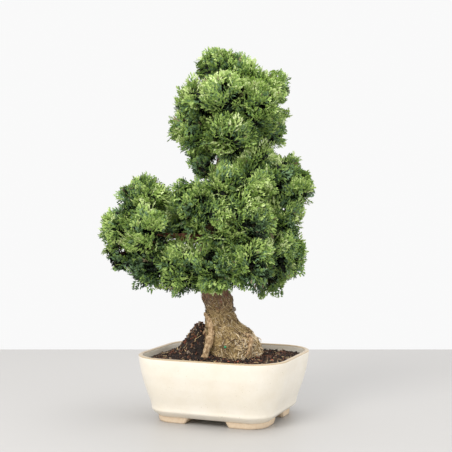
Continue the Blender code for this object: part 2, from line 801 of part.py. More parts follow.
def stand_on_origin(root):
    """Moves the whole plant so that the middle of its footprint, crown and all, is over the origin."""
    bpy.context.view_layer.update()
    points = np.array(
        [
            tuple(obj.matrix_world @ vertex.co)
            for obj in bpy.context.scene.objects
            if obj.type == "MESH" and not obj.hide_render
            for vertex in obj.data.vertices
        ]
    )
    low, high = points.min(axis=0), points.max(axis=0)
    root.location = Vector((-(low[0] + high[0]) / 2, -(low[1] + high[1]) / 2, 0.0))


def main():
    clear_scene()
    root = empty("bonsai")
    planting = empty("planting", root, PLANTING_TURN)
    make_pot(root)
    socket = make_trunk("trunk_socket", "soil", planting, grow=SOCKET_GAP)
    socket.hide_render = True
    socket.display_type = "WIRE"
    bpy.context.view_layer.update()
    make_soil(root, socket)
    bpy.data.objects.remove(socket, do_unlink=True)
    make_trunk("trunk", "bark", planting)

    limbs = Limbs()
    stations = [trunk_station(height) for height in trunk_heights(TRUNK[0][0])]
    limbs.add([middle for middle, _ in stations], [radius for _, radius in stations])
    routes = make_boughs(planting, limbs)
    for number, name in enumerate(MASSES):
        make_mass(name, number, planting, routes, limbs)
    stand_on_origin(root)


main()
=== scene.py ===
"""The looks of a sawara cypress bonsai in its cream pot: pot, soil, trunk, boughs, twigs and sprays of leaf.

Metres, +Z up, in the model's own frame. The tree is laid out in its own axes, across, deep and high, about
the middle of its pot, as the solids are, and planted() turns those axes into the model's. Tones are
colours as a screen shows them, from 0 to 255, and linear() turns them into the light that they stand for.
"""

import functools
import itertools
import math

import bpy
import numpy as np
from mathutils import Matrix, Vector, noise


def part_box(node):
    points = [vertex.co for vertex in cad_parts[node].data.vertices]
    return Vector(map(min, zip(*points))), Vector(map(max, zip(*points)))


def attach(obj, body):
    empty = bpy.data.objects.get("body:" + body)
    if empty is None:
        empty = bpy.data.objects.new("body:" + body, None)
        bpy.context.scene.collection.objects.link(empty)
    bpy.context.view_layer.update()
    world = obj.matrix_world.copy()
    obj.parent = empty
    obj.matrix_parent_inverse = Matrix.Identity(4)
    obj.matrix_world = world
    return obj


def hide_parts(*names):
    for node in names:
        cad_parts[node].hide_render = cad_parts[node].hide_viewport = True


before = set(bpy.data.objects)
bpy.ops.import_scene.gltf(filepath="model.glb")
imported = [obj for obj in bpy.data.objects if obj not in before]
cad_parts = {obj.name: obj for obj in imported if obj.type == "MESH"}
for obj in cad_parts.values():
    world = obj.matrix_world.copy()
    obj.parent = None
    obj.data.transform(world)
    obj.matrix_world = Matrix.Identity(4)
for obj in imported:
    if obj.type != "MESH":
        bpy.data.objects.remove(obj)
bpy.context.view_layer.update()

# The pot, as the solids have it
POT_LENGTH = 0.200
POT_WIDTH = 0.178
POT_CORNER = 0.049
POT_WALL = 0.0056
POT_FLOOR = 0.0160
FOOT_HEIGHT = 0.0078
FOOT_SIZE = 0.0495
FOOT_SPLAY = 0.0045
FOOT_SUNK = 0.0030
# How far the pot's wall stands in from the rim at each height
POT_PROFILE = (
    (FOOT_HEIGHT, 0.0250),
    (0.0140, 0.0174),
    (0.0162, 0.0163),
    (0.0184, 0.0168),
    (0.0260, 0.0148),
    (0.0360, 0.0110),
    (0.0465, 0.0074),
    (0.0624, 0.0031),
    (0.0780, 0.0004),
    (0.0838, 0.0000),
    (0.0850, 0.0014),
)
# The rings of a foot from its sole up: height, how far its inner sides draw in, and how far its outer ones do
FOOT_RINGS = (
    (0.0000, FOOT_SPLAY + 0.0008, 0.0020),
    (0.0005, FOOT_SPLAY, 0.0013),
    (0.0020, FOOT_SPLAY * 0.74, 0.0009),
    (0.0045, FOOT_SPLAY * 0.42, 0.0006),
    (0.0066, FOOT_SPLAY * 0.14, 0.0005),
    (FOOT_HEIGHT, 0.0, 0.0004),
    (FOOT_HEIGHT + FOOT_SUNK * 0.8, -0.0004, 0.0006),
)
CORNER_STEPS = 14
SIDE_STEPS = 10
FOOT_STEPS = 9
WALL_STEP = 0.0014
WALL_SMOOTHINGS = 3
LIP_RINGS = 11
INNER_RINGS = 24
# The glaze is thin and brown on the lip: where that begins and where it is whole, and how the line wavers
LIP_LINE = (0.08350, 0.08400)
LIP_WAVER = 0.0005
LIP_TONE = (186, 164, 130)
GLAZE_TONE = (248, 240, 222)
GLAZE_TONES = ((241, 232, 214), (247, 240, 226))
# How fine the glaze's patterns are, in turns a metre, and the noise at which a speck begins and is whole
GLAZE_SCALES = {"clouds": 38.0, "specks": 900.0, "lip": 160.0, "skin": 260.0}
SPECK_SPAN = (0.745, 0.775)
GLAZE_RELIEF = 0.00008
SPECK_TONE = (176, 168, 128)
GLAZE_ROUGHNESS = (0.24, 0.36)

# Materials are rows: name, tones, size of the pattern, span of the roughness, and then, where a row has them,
# the relief, the noise at which each tone lies, and the pattern's stretch
TWO_PLACES = (0.3, 0.7)
BARE_CLAY = (
    "bare_clay",
    ((222, 198, 168), (229, 207, 178), (236, 217, 190)),
    0.004,
    (0.75, 0.92),
    0.0002,
    (0.30, 0.55, 0.80),
)

# Soil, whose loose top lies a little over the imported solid
SOIL_LEVEL = 0.0725
LOOSE_SOIL = 0.0042
SOIL_EDGE_GAP = 0.0003
HEAP_AT = (-0.033, 0.008)
HEAP_HEIGHT = 0.0405
HEAP_SPREAD = 0.025
COLLAR_HEIGHT = 0.005
COLLAR_SPREAD = 0.050
SOIL_RINGS = 46
SOIL_ROUGHNESS = 0.0016
SOIL_CLODS = 0.0035
BED_DEPTH = 0.010
BED_NARROWING = 0.985
SOIL_BED = (
    "soil_bed",
    ((22, 17, 13), (46, 34, 27), (70, 48, 34)),
    SOIL_CLODS,
    (0.85, 1.0),
    0.0008,
    (0.35, 0.65, 0.8),
)
# Crumbs, of which the first are grit, and the share of each tone
CRUMBS = 6800
GRIT = 1500
CRUMB_SIZES = (0.0005, 0.0013)
GRIT_SIZES = (0.0012, 0.0026)
CRUMB_RISE = 0.25
CRUMB_SHARES = (0.50, 0.33, 0.12, 0.05)
CRUMB_MATERIALS = (
    ("soil_black", ((22, 17, 13), (46, 34, 27)), 0.0012, (0.85, 1.0), 0.0, (0.35, 0.65)),
    ("soil_brown", ((54, 38, 29), (88, 64, 49)), 0.0012, (0.85, 1.0), 0.0, (0.35, 0.65)),
    ("soil_red", ((86, 54, 40), (128, 88, 68)), 0.0012, (0.85, 1.0), 0.0, (0.35, 0.65)),
    ("soil_tan", ((126, 106, 86), (168, 146, 122)), 0.0012, (0.85, 1.0), 0.0, (0.35, 0.65)),
)
# A stone: its corners and faces, and how far the corners are moved by chance
STONE_CORNERS = ((1, 0, 0), (-1, 0, 0), (0, 1, 0), (0, -1, 0), (0, 0, 1), (0, 0, -1))
STONE_FACES = ((0, 2, 4), (2, 1, 4), (1, 3, 4), (3, 0, 4), (2, 0, 5), (1, 2, 5), (3, 1, 5), (0, 3, 5))
STONE_REACH = (0.65, 1.2)
STONE_BREADTH = (0.8, 1.2)
STONE_UNEVEN = 0.16
# Straws and flakes of bark that lie on the soil, and chunks on the heap
LITTER = 260
LITTER_MARGIN = 0.008
LITTER_STEPS = 6
LITTER_BEND = 0.0008
LITTER_CLEAR = 0.0009
LITTER_LOOSE = 0.0006
STRAW_LENGTHS = (0.004, 0.011)
STRAW_RADII = (0.00022, 0.00036)
CHIP_LENGTHS = (0.003, 0.007)
CHIP_WIDTHS = (0.0008, 0.0014)
HEAP_CHUNKS = 70
CHUNK_SIZES = (0.0012, 0.0026)
CHUNKS_FROM_HEAP = (-0.006, -0.010)
CHUNK_SPREAD = 0.45
CHUNK_SHARES = (0.14, 0.30, 0.26, 0.0, 0.30)
LITTER_MATERIALS = (
    ("straw", ((190, 160, 112), (222, 198, 152)), 0.002, (0.6, 0.8)),
    ("dead_twig", ((92, 62, 42), (140, 98, 66)), 0.002, (0.7, 0.9)),
    ("bark_bit", ((96, 54, 38), (134, 80, 58)), 0.002, (0.75, 0.95), 0.0003),
    ("red_clay", ((140, 72, 48), (188, 112, 82)), 0.002, (0.8, 0.95), 0.0003),
    ("grey_chip", ((118, 100, 84), (178, 158, 138)), 0.002, (0.8, 0.95), 0.0003),
)
# Straws are of the first two materials, this share of them of the first, and chips of the second and third
STRAW_SHARE = 0.6
PEBBLE_TONE = 3
# Clay pebbles: across and deep, and the size of each
PEBBLES = (
    ((-0.062, -0.038), 0.0024),
    ((-0.030, -0.048), 0.0022),
    ((0.004, -0.052), 0.0022),
    ((0.016, -0.050), 0.0018),
    ((0.060, -0.030), 0.0020),
    ((0.050, 0.042), 0.0021),
    ((-0.040, 0.050), 0.0022),
    ((-0.071, 0.012), 0.0018),
)

# The tree
PLANTING_TURN = math.radians(21.6)
TRUNK = (
    (0.0728, 0.0072, 0.0000, 0.0372),
    (0.0930, 0.0068, 0.0000, 0.0350),
    (0.1110, 0.0045, 0.0000, 0.0290),
    (0.1240, -0.0040, 0.0000, 0.0220),
    (0.1360, -0.0062, 0.0000, 0.0178),
    (0.1540, -0.0100, 0.0010, 0.0195),
    (0.1740, -0.0168, 0.0030, 0.0180),
    (0.2050, -0.0212, 0.0045, 0.0155),
    (0.2400, -0.0190, 0.0055, 0.0130),
    (0.2850, -0.0095, 0.0065, 0.0100),
    (0.3350, -0.0030, 0.0030, 0.0078),
    (0.3800, 0.0070, 0.0005, 0.0055),
    (0.4200, 0.0090, 0.0000, 0.0036),
    (0.4480, 0.0100, 0.0000, 0.0016),
)
BUTTRESSES = 5
BUTTRESS_DEPTH = 0.10
BUTTRESS_TOP = 0.130
BUTTRESS_PHASE = 0.6
BARK_RINGS = 300
BARK_SIDES = 150
BARK_BOTTOM = 0.0730
# The rings crowd towards the foot by this power
BARK_CROWDING = 1.35
# The bark's relief: the size of each pattern, and how high it stands
LUMPS = (0.011, 0.0022)
RIDGES = (0.0032, 0.00055)
PLATES = (0.0042, 0.00050)
FINE_BARK = (0.0014, 0.00026)
KNOTS = (0.0036, 0.0010)
BUDS = (0.0024, 0.0012)
FINE_MOSS_HEIGHT = 0.0004
RIDGE_STRETCH = (1, 1, 0.22)
PLATE_STRETCH = (1, 1, 0.35)
PLATE_STEPS = 2.2
# Where the trunk is thinner than this, its relief is lower. All of it is sunk by the second number
RELIEF_RADIUS = 0.018
RELIEF_SUNK = 0.0007
MOSS_TOP = 0.168
MOSS_FADE = 0.030
# The moss's colour gives way to the bark's between these heights, unevenly
MOSS_EDGE = (0.150, 0.182)
MOSS_WAVER = 0.030
BARK_SCALES = {"flakes": 300.0, "fibres": 520.0, "edge": 70.0}
BARK_STRETCH = (1.0, 1.0, 0.28)
BARK_ROUGHNESS = (0.78, 0.98)
BARK_RELIEF = 0.0006
MOSS_TONES = ((68, 52, 34), (124, 102, 66), (166, 142, 96), (206, 184, 140))
MOSS_PLACES = (0.28, 0.42, 0.56, 0.72)
BARK_TONES = ((88, 60, 46), (142, 106, 84), (174, 140, 114), (204, 176, 156))
BARK_PLACES = (0.25, 0.45, 0.62, 0.80)

# Bare roots, at the left of the foot, at its knee and behind: control points, then the radii at both ends
ROOTS = (
    (
        ((-0.026, -0.008, 0.136), (-0.011, -0.025, 0.116), (-0.021, -0.030, 0.100), (-0.028, -0.031, 0.076)),
        (0.0052, 0.0062),
    ),
    (
        ((0.018, -0.020, 0.110), (0.038, -0.021, 0.113), (0.040, -0.024, 0.094), (0.018, -0.035, 0.077)),
        (0.0030, 0.0036),
    ),
    (
        ((0.006, 0.022, 0.115), (0.010, 0.032, 0.096), (0.014, 0.038, 0.077)),
        (0.0050, 0.0065),
    ),
)
# Thinner strands that run beside them and across the foot, in the same way
STRANDS = (
    (
        ((0.020, -0.024, 0.106), (0.032, -0.027, 0.100), (0.036, -0.022, 0.090), (0.030, -0.030, 0.079)),
        (0.0016, 0.0012),
    ),
    (
        ((0.028, -0.016, 0.110), (0.040, -0.012, 0.104), (0.042, -0.012, 0.092), (0.041, -0.018, 0.079)),
        (0.0014, 0.0011),
    ),
    (
        ((-0.024, -0.006, 0.116), (-0.030, -0.004, 0.104), (-0.032, -0.008, 0.092), (-0.036, -0.010, 0.079)),
        (0.0016, 0.0011),
    ),
    (
        ((0.034, 0.006, 0.108), (0.040, 0.012, 0.100), (0.041, 0.014, 0.090), (0.046, 0.016, 0.079)),
        (0.0015, 0.0012),
    ),
    (
        ((-0.012, 0.022, 0.114), (-0.016, 0.030, 0.100), (-0.014, 0.034, 0.090), (-0.020, 0.038, 0.079)),
        (0.0015, 0.0011),
    ),
)
ROOT_RINGS = 40
ROOT_FINE_RINGS = 120
ROOT_SIDES = 24
# A root's swelling along its length, as shares of its radius
ROOT_SWELL = ((0.0, 0.2, 0.7, 1.0), (0.35, 0.72, 0.80, 0.70))
# How roots and strands wander, and how uneven they are: the size of each pattern and how far it goes
ROOT_WANDER = (0.009, (0.0012, 0.0008, 0.0))
ROOT_UNEVEN = (0.005, 0.34)
ROOT_LUMPS = (0.0026, 0.0007)
ROOT_PORES = (0.0012, 0.0003)
STRAND_WANDER = (0.006, (0.0011, 0.0011, 0.0004))
STRAND_RINGS = 26
STRAND_SIDES = 8
PALE_ROOT = (
    "pale_root",
    ((92, 68, 42), (156, 126, 90), (196, 168, 130), (224, 206, 172)),
    0.0022,
    (0.65, 0.85),
    0.0003,
    (0.30, 0.44, 0.58, 0.76),
    (1.0, 1.0, 0.4),
)

# Strips of bark that lift off the trunk: the lowest, how far up they go, how they crowd low down, their sizes
FLAKES = 420
FLAKE_LOWEST = 0.140
FLAKE_SPAN = 0.170
FLAKE_CROWDING = 1.3
FLAKE_SKEW = 0.10
FLAKE_CLEAR = 0.0002
FLAKE_LENGTHS = (0.004, 0.013)
FLAKE_WIDTHS = (0.0005, 0.0013)
FLAKE_LIFTS = (0.0, 0.0010)
FLAKE_THICKNESS = 0.00022
FLAKE_STEPS = 7
FLAKE_MATERIALS = (
    ("flake_red", ((126, 78, 62), (162, 110, 90)), 0.002, (0.7, 0.9)),
    ("flake_brown", ((102, 78, 60), (142, 114, 90)), 0.002, (0.7, 0.9)),
    ("flake_grey", ((128, 106, 90), (164, 142, 124)), 0.002, (0.7, 0.9)),
)

# Rootlets on the foot. One in KNEE_EVERY is at the knee, where one in LOOP_EVERY is a thick loop, and one in
# HAIR_EVERY is a hair that stands off
ROOTLETS = 2300
ROOTLET_START = 0.079
ROOTLET_SPAN = 0.080
ROOTLET_CROWDING = 1.25
ROOTLET_LOWEST = 0.0785
ROOTLET_SLANT = 1.2
ROOTLET_LENGTHS = (0.003, 0.008)
ROOTLET_CURLS = (0.0004, 0.0018)
ROOTLET_WAVES = (2.0, 7.0)
ROOTLET_STEPS = 7
ROOTLET_TAPER = 0.6
KNEE_EVERY = 4
KNEE_ANGLE = -0.62
KNEE_SPREAD = 0.35
KNEE_HEIGHTS = (0.080, 0.110)
LOOP_EVERY = 12
LOOP_LENGTHS = (0.006, 0.013)
LOOP_CURLS = (0.0015, 0.0035)
LOOP_WAVES = (3.0, 6.0)
LOOP_RADII = (0.0006, 0.0010)
HAIR_EVERY = 60
HAIR_BULGES = (0.0022, 0.0055)
HAIR_RADII = (0.00014, 0.00022)
# At the knee and elsewhere: how far one stands off, its radius, and the share of each tone
KNEE_ROOTLETS = ((0.0002, 0.0034), (0.00022, 0.00064), (0.45, 0.33, 0.10, 0.12))
OTHER_ROOTLETS = ((0.0002, 0.0018), (0.00022, 0.00050), (0.17, 0.33, 0.26, 0.24))
ROOTLET_MATERIALS = (
    ("rootlet_pale", ((212, 190, 156), (234, 218, 188)), 0.002, (0.7, 0.9)),
    ("rootlet_straw", ((184, 158, 114), (212, 188, 144)), 0.002, (0.7, 0.9)),
    ("rootlet_olive", ((134, 112, 68), (166, 142, 94)), 0.002, (0.7, 0.9)),
    ("rootlet_brown", ((80, 60, 42), (118, 94, 68)), 0.002, (0.7, 0.9)),
)

# The stub of a cut bough and the green bead: height and angle on the trunk
STUB = (0.1400, -0.30)
STUB_RISE = 0.35
STUB_REACH = (-0.004, 0.000, 0.0025, 0.0036, 0.0038)
STUB_RADII = (0.0034, 0.0032, 0.0028, 0.0025, 0.0012)
BEAD = (0.0957, -1.75)
BEAD_RADIUS = 0.0017
BEAD_PROUD = 0.0014
BEAD_RINGS = 9
BEAD_SIDES = 14
BEAD_UNEVEN = (0.0012, 0.14)
GREY_STUB = ("grey_stub", ((112, 100, 90), (168, 158, 146)), 0.0015, (0.8, 0.95), 0.0003)
GREEN_BEAD = ("green_bead", ((38, 132, 88), (78, 172, 122)), 0.001, (0.35, 0.55))

# The masses of foliage: across, deep and high of the heart of each, and its radius
MASSES = {
    "top_left": (-0.011, 0.000, 0.4530, 0.0275),
    "top": (0.019, 0.005, 0.4430, 0.0290),
    "top_right": (0.054, 0.000, 0.4210, 0.0295),
    "upper_left": (-0.037, 0.000, 0.4050, 0.0300),
    "upper_left_low": (-0.041, 0.000, 0.3690, 0.0285),
    "upper_front": (0.002, -0.037, 0.4120, 0.0340),
    "upper_front_right": (0.040, -0.034, 0.3990, 0.0320),
    "upper_right_low": (0.052, 0.000, 0.3730, 0.0290),
    "upper_front_low": (0.008, -0.035, 0.3640, 0.0330),
    "upper_back_left": (-0.010, 0.038, 0.4130, 0.0340),
    "upper_back_right": (0.033, 0.038, 0.3880, 0.0350),
    "neck_left": (-0.025, -0.004, 0.3280, 0.0235),
    "neck_right": (0.034, -0.014, 0.3360, 0.0290),
    "neck_back": (-0.008, 0.034, 0.3480, 0.0300),
    "middle_right": (0.070, 0.000, 0.3140, 0.0290),
    "middle_right_tip": (0.093, 0.008, 0.2970, 0.0255),
    "middle_right_low": (0.072, 0.008, 0.2620, 0.0300),
    "middle_front": (0.036, -0.031, 0.3030, 0.0320),
    "middle_front_left": (0.000, -0.033, 0.3020, 0.0270),
    "middle_back": (0.034, 0.038, 0.3040, 0.0360),
    "lower_front_right": (0.028, -0.045, 0.2560, 0.0350),
    "lower_front_under": (0.032, -0.040, 0.2060, 0.0340),
    "lower_right": (0.074, -0.006, 0.2140, 0.0330),
    "lower_right_drop": (0.056, 0.002, 0.1820, 0.0240),
    "lower_back_right": (0.050, 0.046, 0.2320, 0.0370),
    "left_top": (-0.106, 0.000, 0.2830, 0.0300),
    "left_tip": (-0.136, -0.002, 0.2490, 0.0265),
    "left_tip_low": (-0.134, -0.002, 0.2120, 0.0270),
    "left_front": (-0.096, -0.030, 0.2380, 0.0330),
    "left_back": (-0.104, 0.036, 0.2330, 0.0370),
    "left_inner": (-0.041, -0.028, 0.2750, 0.0330),
    "left_low": (-0.096, -0.010, 0.1960, 0.0310),
    "left_under": (-0.054, -0.026, 0.1960, 0.0320),
    "left_back_inner": (-0.058, 0.034, 0.2560, 0.0410),
    "centre_low": (-0.010, -0.046, 0.1990, 0.0290),
    "centre_front": (-0.011, -0.040, 0.2530, 0.0290),
}
STEM_RADIUS = 0.0016
STEM_DROP = 0.012
STEM_RINGS = 12
STEM_SIDES = 7

# The boughs: the mass that each carries, the limb that it leaves, and how far along that limb
BOUGHS = {
    "top_left": ("top_left", "trunk", 0.402),
    "top_right": ("top_right", "trunk", 0.392),
    "upper_left": ("upper_left", "trunk", 0.380),
    "upper_left_low": ("upper_left_low", "trunk", 0.345),
    "upper_right_low": ("upper_right_low", "trunk", 0.352),
    "upper_front_right": ("upper_front_right", "trunk", 0.378),
    "middle_right": ("middle_right", "trunk", 0.300),
    "middle_front": ("middle_front", "trunk", 0.282),
    "right": ("middle_right_low", "trunk", 0.250),
    "right_tip": ("middle_right_tip", "trunk", 0.268),
    "lower_front_right": ("lower_front_right", "trunk", 0.236),
    "lower_front_under": ("lower_front_under", "trunk", 0.199),
    "lower_back_right": ("lower_back_right", "trunk", 0.222),
    "lower_right": ("lower_right", "trunk", 0.212),
    "lower_right_drop": ("lower_right_drop", "lower_right", 0.55),
    "left": ("left_tip", "trunk", 0.236),
    "left_top": ("left_top", "left", 0.60),
    "left_tip_low": ("left_tip_low", "left", 0.78),
    "left_front": ("left_front", "left", 0.52),
    "left_back": ("left_back", "left", 0.46),
    "left_low": ("left_low", "left", 0.36),
}
BOUGH_ENTRY = 0.80
BOUGH_BOW = 0.09
BOUGH_THICKNESS = (0.0021, 0.019)
BOUGH_SHARE = 0.75
BOUGH_TAPER = 0.45
BOUGH_SIDES = 12
BOUGH_RINGS = 22
BOUGH_TIP_RING = 17
BOUGH_WANDER = (0.012, 0.0010)
# The young bark's relief, as the size of each pattern and its share of the bough's radius
BOUGH_RIDGES = (0.0016, 0.14)
BOUGH_LUMPS = (0.005, 0.12)
TRUNK_STATIONS = 160
YOUNG_BARK = (
    "young_bark",
    ((86, 52, 42), (146, 94, 74), (178, 124, 98), (196, 156, 130)),
    0.0024,
    (0.75, 0.95),
    0.0004,
    (0.25, 0.48, 0.66, 0.85),
    (1.0, 1.0, 0.6),
)

# The pieces of the crown, and the masses that are joined in each
CROWN_PARTS = {
    "top": "top top_left top_right",
    "upper_front": "upper_left upper_left_low upper_front upper_front_right upper_front_low upper_right_low",
    "back": "upper_back_left upper_back_right neck_back middle_back lower_back_right",
    "middle": "neck_left neck_right middle_front middle_front_left"
    " middle_right middle_right_tip middle_right_low",
    "lower": "lower_front_right lower_front_under lower_right lower_right_drop centre_low",
    "left_outer": "left_top left_tip left_tip_low left_front left_low",
    "left_inner": "left_back left_inner left_under left_back_inner centre_front",
}

# The camera: its turn, how far it stands before, above and beside the pot's middle, its tilt and its lens
CAMERA_TURN = math.radians(21.64)
CAMERA_AWAY = 1.30
CAMERA_HEIGHT = 0.288
CAMERA_ASIDE = 0.0012
CAMERA_TILT = -0.0304
CAMERA_LENS = 79.65
CAMERA_SENSOR = 36.0
# The floor's back edge, behind the pot's middle, and how far the floor runs the other ways
FLOOR_BEHIND = 0.565
FLOOR_REACH = 3
FLOOR_TONE = (176, 174, 172)
SKY_STRENGTH = 0.95
# Lamps: aside, behind and above as the camera sees them, size, power and colour. They aim at a height
LAMPS = {
    "key": ((-0.9, -1.3, 1.5), 0.9, 26.0, (1.0, 0.985, 0.96)),
    "top": ((0.2, 0.1, 1.9), 1.2, 16.0, (1.0, 1.0, 1.0)),
    "fill": ((1.4, -0.9, 0.7), 1.0, 5.0, (0.96, 0.98, 1.0)),
}
LAMP_AIM = 0.22

# One seed for the whole plant, and a number for each piece that draws by chance. A mass's own number is its
# place among the masses
SEED = 23
DRAWS = {"crumbs": 501, "litter": 502, "roots": 601, "flakes": 602, "rootlets": 603, "patterns": 700}

# How each mass grows: main twigs, then sprays on twiglets. Shares are of the mass's radius
MAIN_TWIGS = 13
MAIN_TWIG_SHARE = (0.42, 0.58)
MAIN_TWIG_RADII = (0.0010, 0.0005)
MAIN_TWIG_RINGS = 6
MAIN_TWIG_BEND = 0.0012
# How far short of a neighbour's plane a main twig ends, and the shortest that grows
MAIN_TWIG_CLEAR = 0.003
MAIN_TWIG_LEAST = 0.25
TWIGLET_RADII = (0.00046, 0.00030)
# The crown's skin is the masses' balls, joined by a fillet of this size where they meet
CREASE_FILLET = 0.0065
CROWN_OVERRUN = (-0.0065, 0.0020)
RAGGED_DEPTH = 0.0055
RAGGED_SIZE = 0.018
PLANE_OVERRUN = 0.0060
SPRAYS = 225
SPRAYS_FOR_RADIUS = 0.030
OUTER_SHARE = (0.34, 0.68)
# Where a neighbour's plane is nearer than this share, most sprays are left out
CRAMPED_SHARE = 0.55
CRAMPED_LOSS = 0.65
SPRAY_LENGTH = (0.0175, 0.0300)
SPRAY_LEAST = 0.0095
SPRAY_LEAN = (0.25, 1.15)
SPRAY_LEAN_SPREAD = 0.25
SPRAY_SPREAD = 0.35
SPRAY_ROLL = 0.45
SPRAY_CUP = (0.02, 0.30)
SPRAY_SHRINK = 0.9
# The places along a spray and to its side that have to fit, as shares of its length
SPRAY_RIM = np.array(((0.5, 0.0), (1.0, 0.0), (0.62, 0.42), (0.62, -0.42)))
TUFT_PULL = 0.38
TUFT_LIGHT = 0.60
TUFT_SPREAD = 0.6
# Sprays lean away from the trunk and up
LEAD_OUT = 0.8
LEAD_UP = 0.5
LEAD_DROP = 0.02
LIMB_CLEARANCE = 0.0008
LIMB_REACH = 0.02
# Shares of a spray's length: where its hollow and its tone are told, and where its twiglet ends
HOLLOW_MARK = 0.55
TONE_MARK = 0.6
TWIGLET_END = 0.04
# Sprays that hang under the low masses, how many for each, and how far they may reach out of the crown
HANGING = {
    "left_low": 9,
    "left_under": 30,
    "centre_low": 44,
    "lower_front_under": 18,
    "lower_right": 14,
    "lower_right_drop": 14,
}
HANGING_OVERRUN = (0.000, 0.0080)
HANGING_SPREAD = 0.55
HANGING_LEAD = 0.3
HANGING_SHARE = (0.55, 0.85)
# Small tufts that stand proud of a mass: where each ends
PROUD_TUFTS = (
    ("middle_right", (0.0930, 0.004, 0.3380)),
    ("left_inner", (-0.0630, -0.026, 0.3080)),
    ("top_right", (0.0790, 0.000, 0.4460)),
    ("upper_left", (-0.0450, 0.000, 0.4330)),
    ("upper_left_low", (-0.0700, 0.000, 0.3760)),
    ("left_top", (-0.1000, 0.000, 0.3140)),
    ("left_top", (-0.1340, 0.000, 0.2890)),
    ("left_top", (-0.0790, -0.008, 0.2940)),
    ("upper_right_low", (0.0785, 0.000, 0.4000)),
    ("left_back_inner", (-0.0190, 0.038, 0.2880)),
    ("left_back_inner", (-0.0150, 0.040, 0.2600)),
    ("left_back_inner", (-0.0200, 0.040, 0.2330)),
    ("neck_back", (-0.0200, 0.036, 0.3160)),
    ("middle_back", (-0.0040, 0.040, 0.2880)),
    ("lower_back_right", (0.0120, 0.044, 0.2520)),
    ("lower_back_right", (0.0100, 0.044, 0.2260)),
)
PROUD_SPRAYS = 12
PROUD_OVERRUN = (0.002, 0.0085)
PROUD_DEPTHS = (0.014, 0.020)
PROUD_SPREAD = 0.0035
# How far hanging and proud sprays lean, and what is added to their light
EXTRA_LEAN = 0.3
EXTRA_LIGHT = -0.4
EXTRA_TONE_MARK = 0.3
# The masses that are sparse, and how much further in their sprays end
THIN = (
    "left_low",
    "left_tip_low",
    "neck_left",
    "upper_left",
    "top",
    "middle_right",
)
THIN_DRAW = 0.0030
# Openings that show the sky from the front: across and high where they cross the tree's middle, and radius
OPENINGS = (
    (-0.0105, 0.3347, 0.0060),
    (-0.0160, 0.3300, 0.0035),
    (-0.0807, 0.2359, 0.0050),
    (0.0766, 0.2710, 0.0038),
    (0.0688, 0.4036, 0.0045),
    (0.0454, 0.3581, 0.0040),
    (-0.1340, 0.2164, 0.0040),
)
# Openings that end on bare wood: across and high as above, radius, and how deep the wood lies
WINDOWS = (
    (-0.0730, 0.2445, 0.0036, -0.022),
    (-0.0520, 0.2445, 0.0034, -0.020),
    (-0.0240, 0.2455, 0.0040, -0.018),
    (-0.0160, 0.2440, 0.0044, -0.018),
)
# Where the openings are seen from
SEEN_FROM = (CAMERA_ASIDE, -CAMERA_AWAY, CAMERA_HEIGHT)
# The places along a spray and to its side, as shares of its length, that keep clear of an opening
SPRAY_MARKS = ((0.05, 0.0), (0.45, 0.0), (0.85, 0.0), (0.6, 0.3), (0.6, -0.3))
# Hollows without outer sprays, where the painted shade of the dark middle shows: across, deep, high and
# radius
HOLLOWS = (
    (-0.022, -0.062, 0.2190, 0.0150),
    (-0.078, -0.045, 0.2350, 0.0120),
    (0.046, -0.050, 0.2810, 0.0110),
    (0.037, -0.058, 0.4250, 0.0080),
    (0.005, -0.060, 0.3970, 0.0095),
    (0.052, -0.040, 0.3520, 0.0100),
    (-0.018, -0.030, 0.3080, 0.0090),
    (0.060, -0.045, 0.2330, 0.0110),
    (-0.062, -0.040, 0.2620, 0.0090),
    (0.020, 0.062, 0.3500, 0.0120),
    (-0.070, 0.060, 0.2300, 0.0120),
    (0.085, 0.030, 0.2440, 0.0110),
)
# Coarse sprays of painted shade, dark green and near black, that fill the middle of each mass
SHADE_SPRAYS = 70
SHADE_SHARE = (0.05, 0.45)
SHADE_LENGTH = (0.014, 0.020)
SHADE_LEAN = 0.6
SHADE_TONES = (0.7, 0.3)
# The patterns of a spray: how many there are, fine and coarse, and the fingers of each
TEMPLATES = 14
COARSE_TEMPLATES = 4
FINGERS = 7
COARSE_FINGERS = 4
COARSE_WIDTH = 2.0
# Shares of the spray's length: where its fingers begin, how they are spaced and how long they are. They close
# towards its tip, curl back, and each has a nub at its knee
FINGER_FIRST = 0.08
FINGER_SPAN = 0.76
FINGER_SHIFT = 0.02
FINGER_LENGTH = 0.80
FINGER_SHORTENING = 0.6
FINGER_UNEVEN = (0.78, 1.12)
FINGER_ANGLE = 0.80
FINGER_CLOSING = 0.42
FINGER_ANGLE_SPREAD = 0.08
FINGER_CURLS = (0.05, 0.45)
NUB_ANGLE = 0.50
NUB_LENGTHS = (0.30, 0.45)
AXIS_BEND = 0.22
AXIS_BLADES = ((-0.06, 0.36), (0.30, 0.70), (0.64, 1.02))
BLADE_HALF_WIDTH = 0.00122
BLADE_LIFT = 0.40
# The faces of a leaf blade, a closed kite of four corners: its foot, its tip and the two sides of its waist
BLADE_FACES = np.array(((0, 1, 2), (0, 3, 1), (0, 2, 3), (1, 3, 2)))
WAIST = 0.45

# The tones of the leaves, from the darkest to the lightest, and a brown for a few dead fingers. They are
# dealt out as painted shade deeper in the crown and as painted light higher up
LEAF_TONES = {
    # A near black tone of painted shade, for the sprays in the middle of the masses
    "leaf_shade_black": (9, 14, 9),
    "leaf_shade": (34, 52, 28),
    "leaf_deep": (71, 97, 54),
    "leaf_blue": (106, 134, 98),
    "leaf_mid": (124, 152, 80),
    "leaf_fresh": (150, 177, 92),
    "leaf_bright": (180, 202, 120),
    "leaf_tip": (204, 219, 156),
    "leaf_brown": (134, 122, 94),
}
BROWN_TONE = len(LEAF_TONES) - 1
BLUE_TONE = 3
LEAF_ROUGHNESS = 0.6
LEAF_SHINE = 0.25
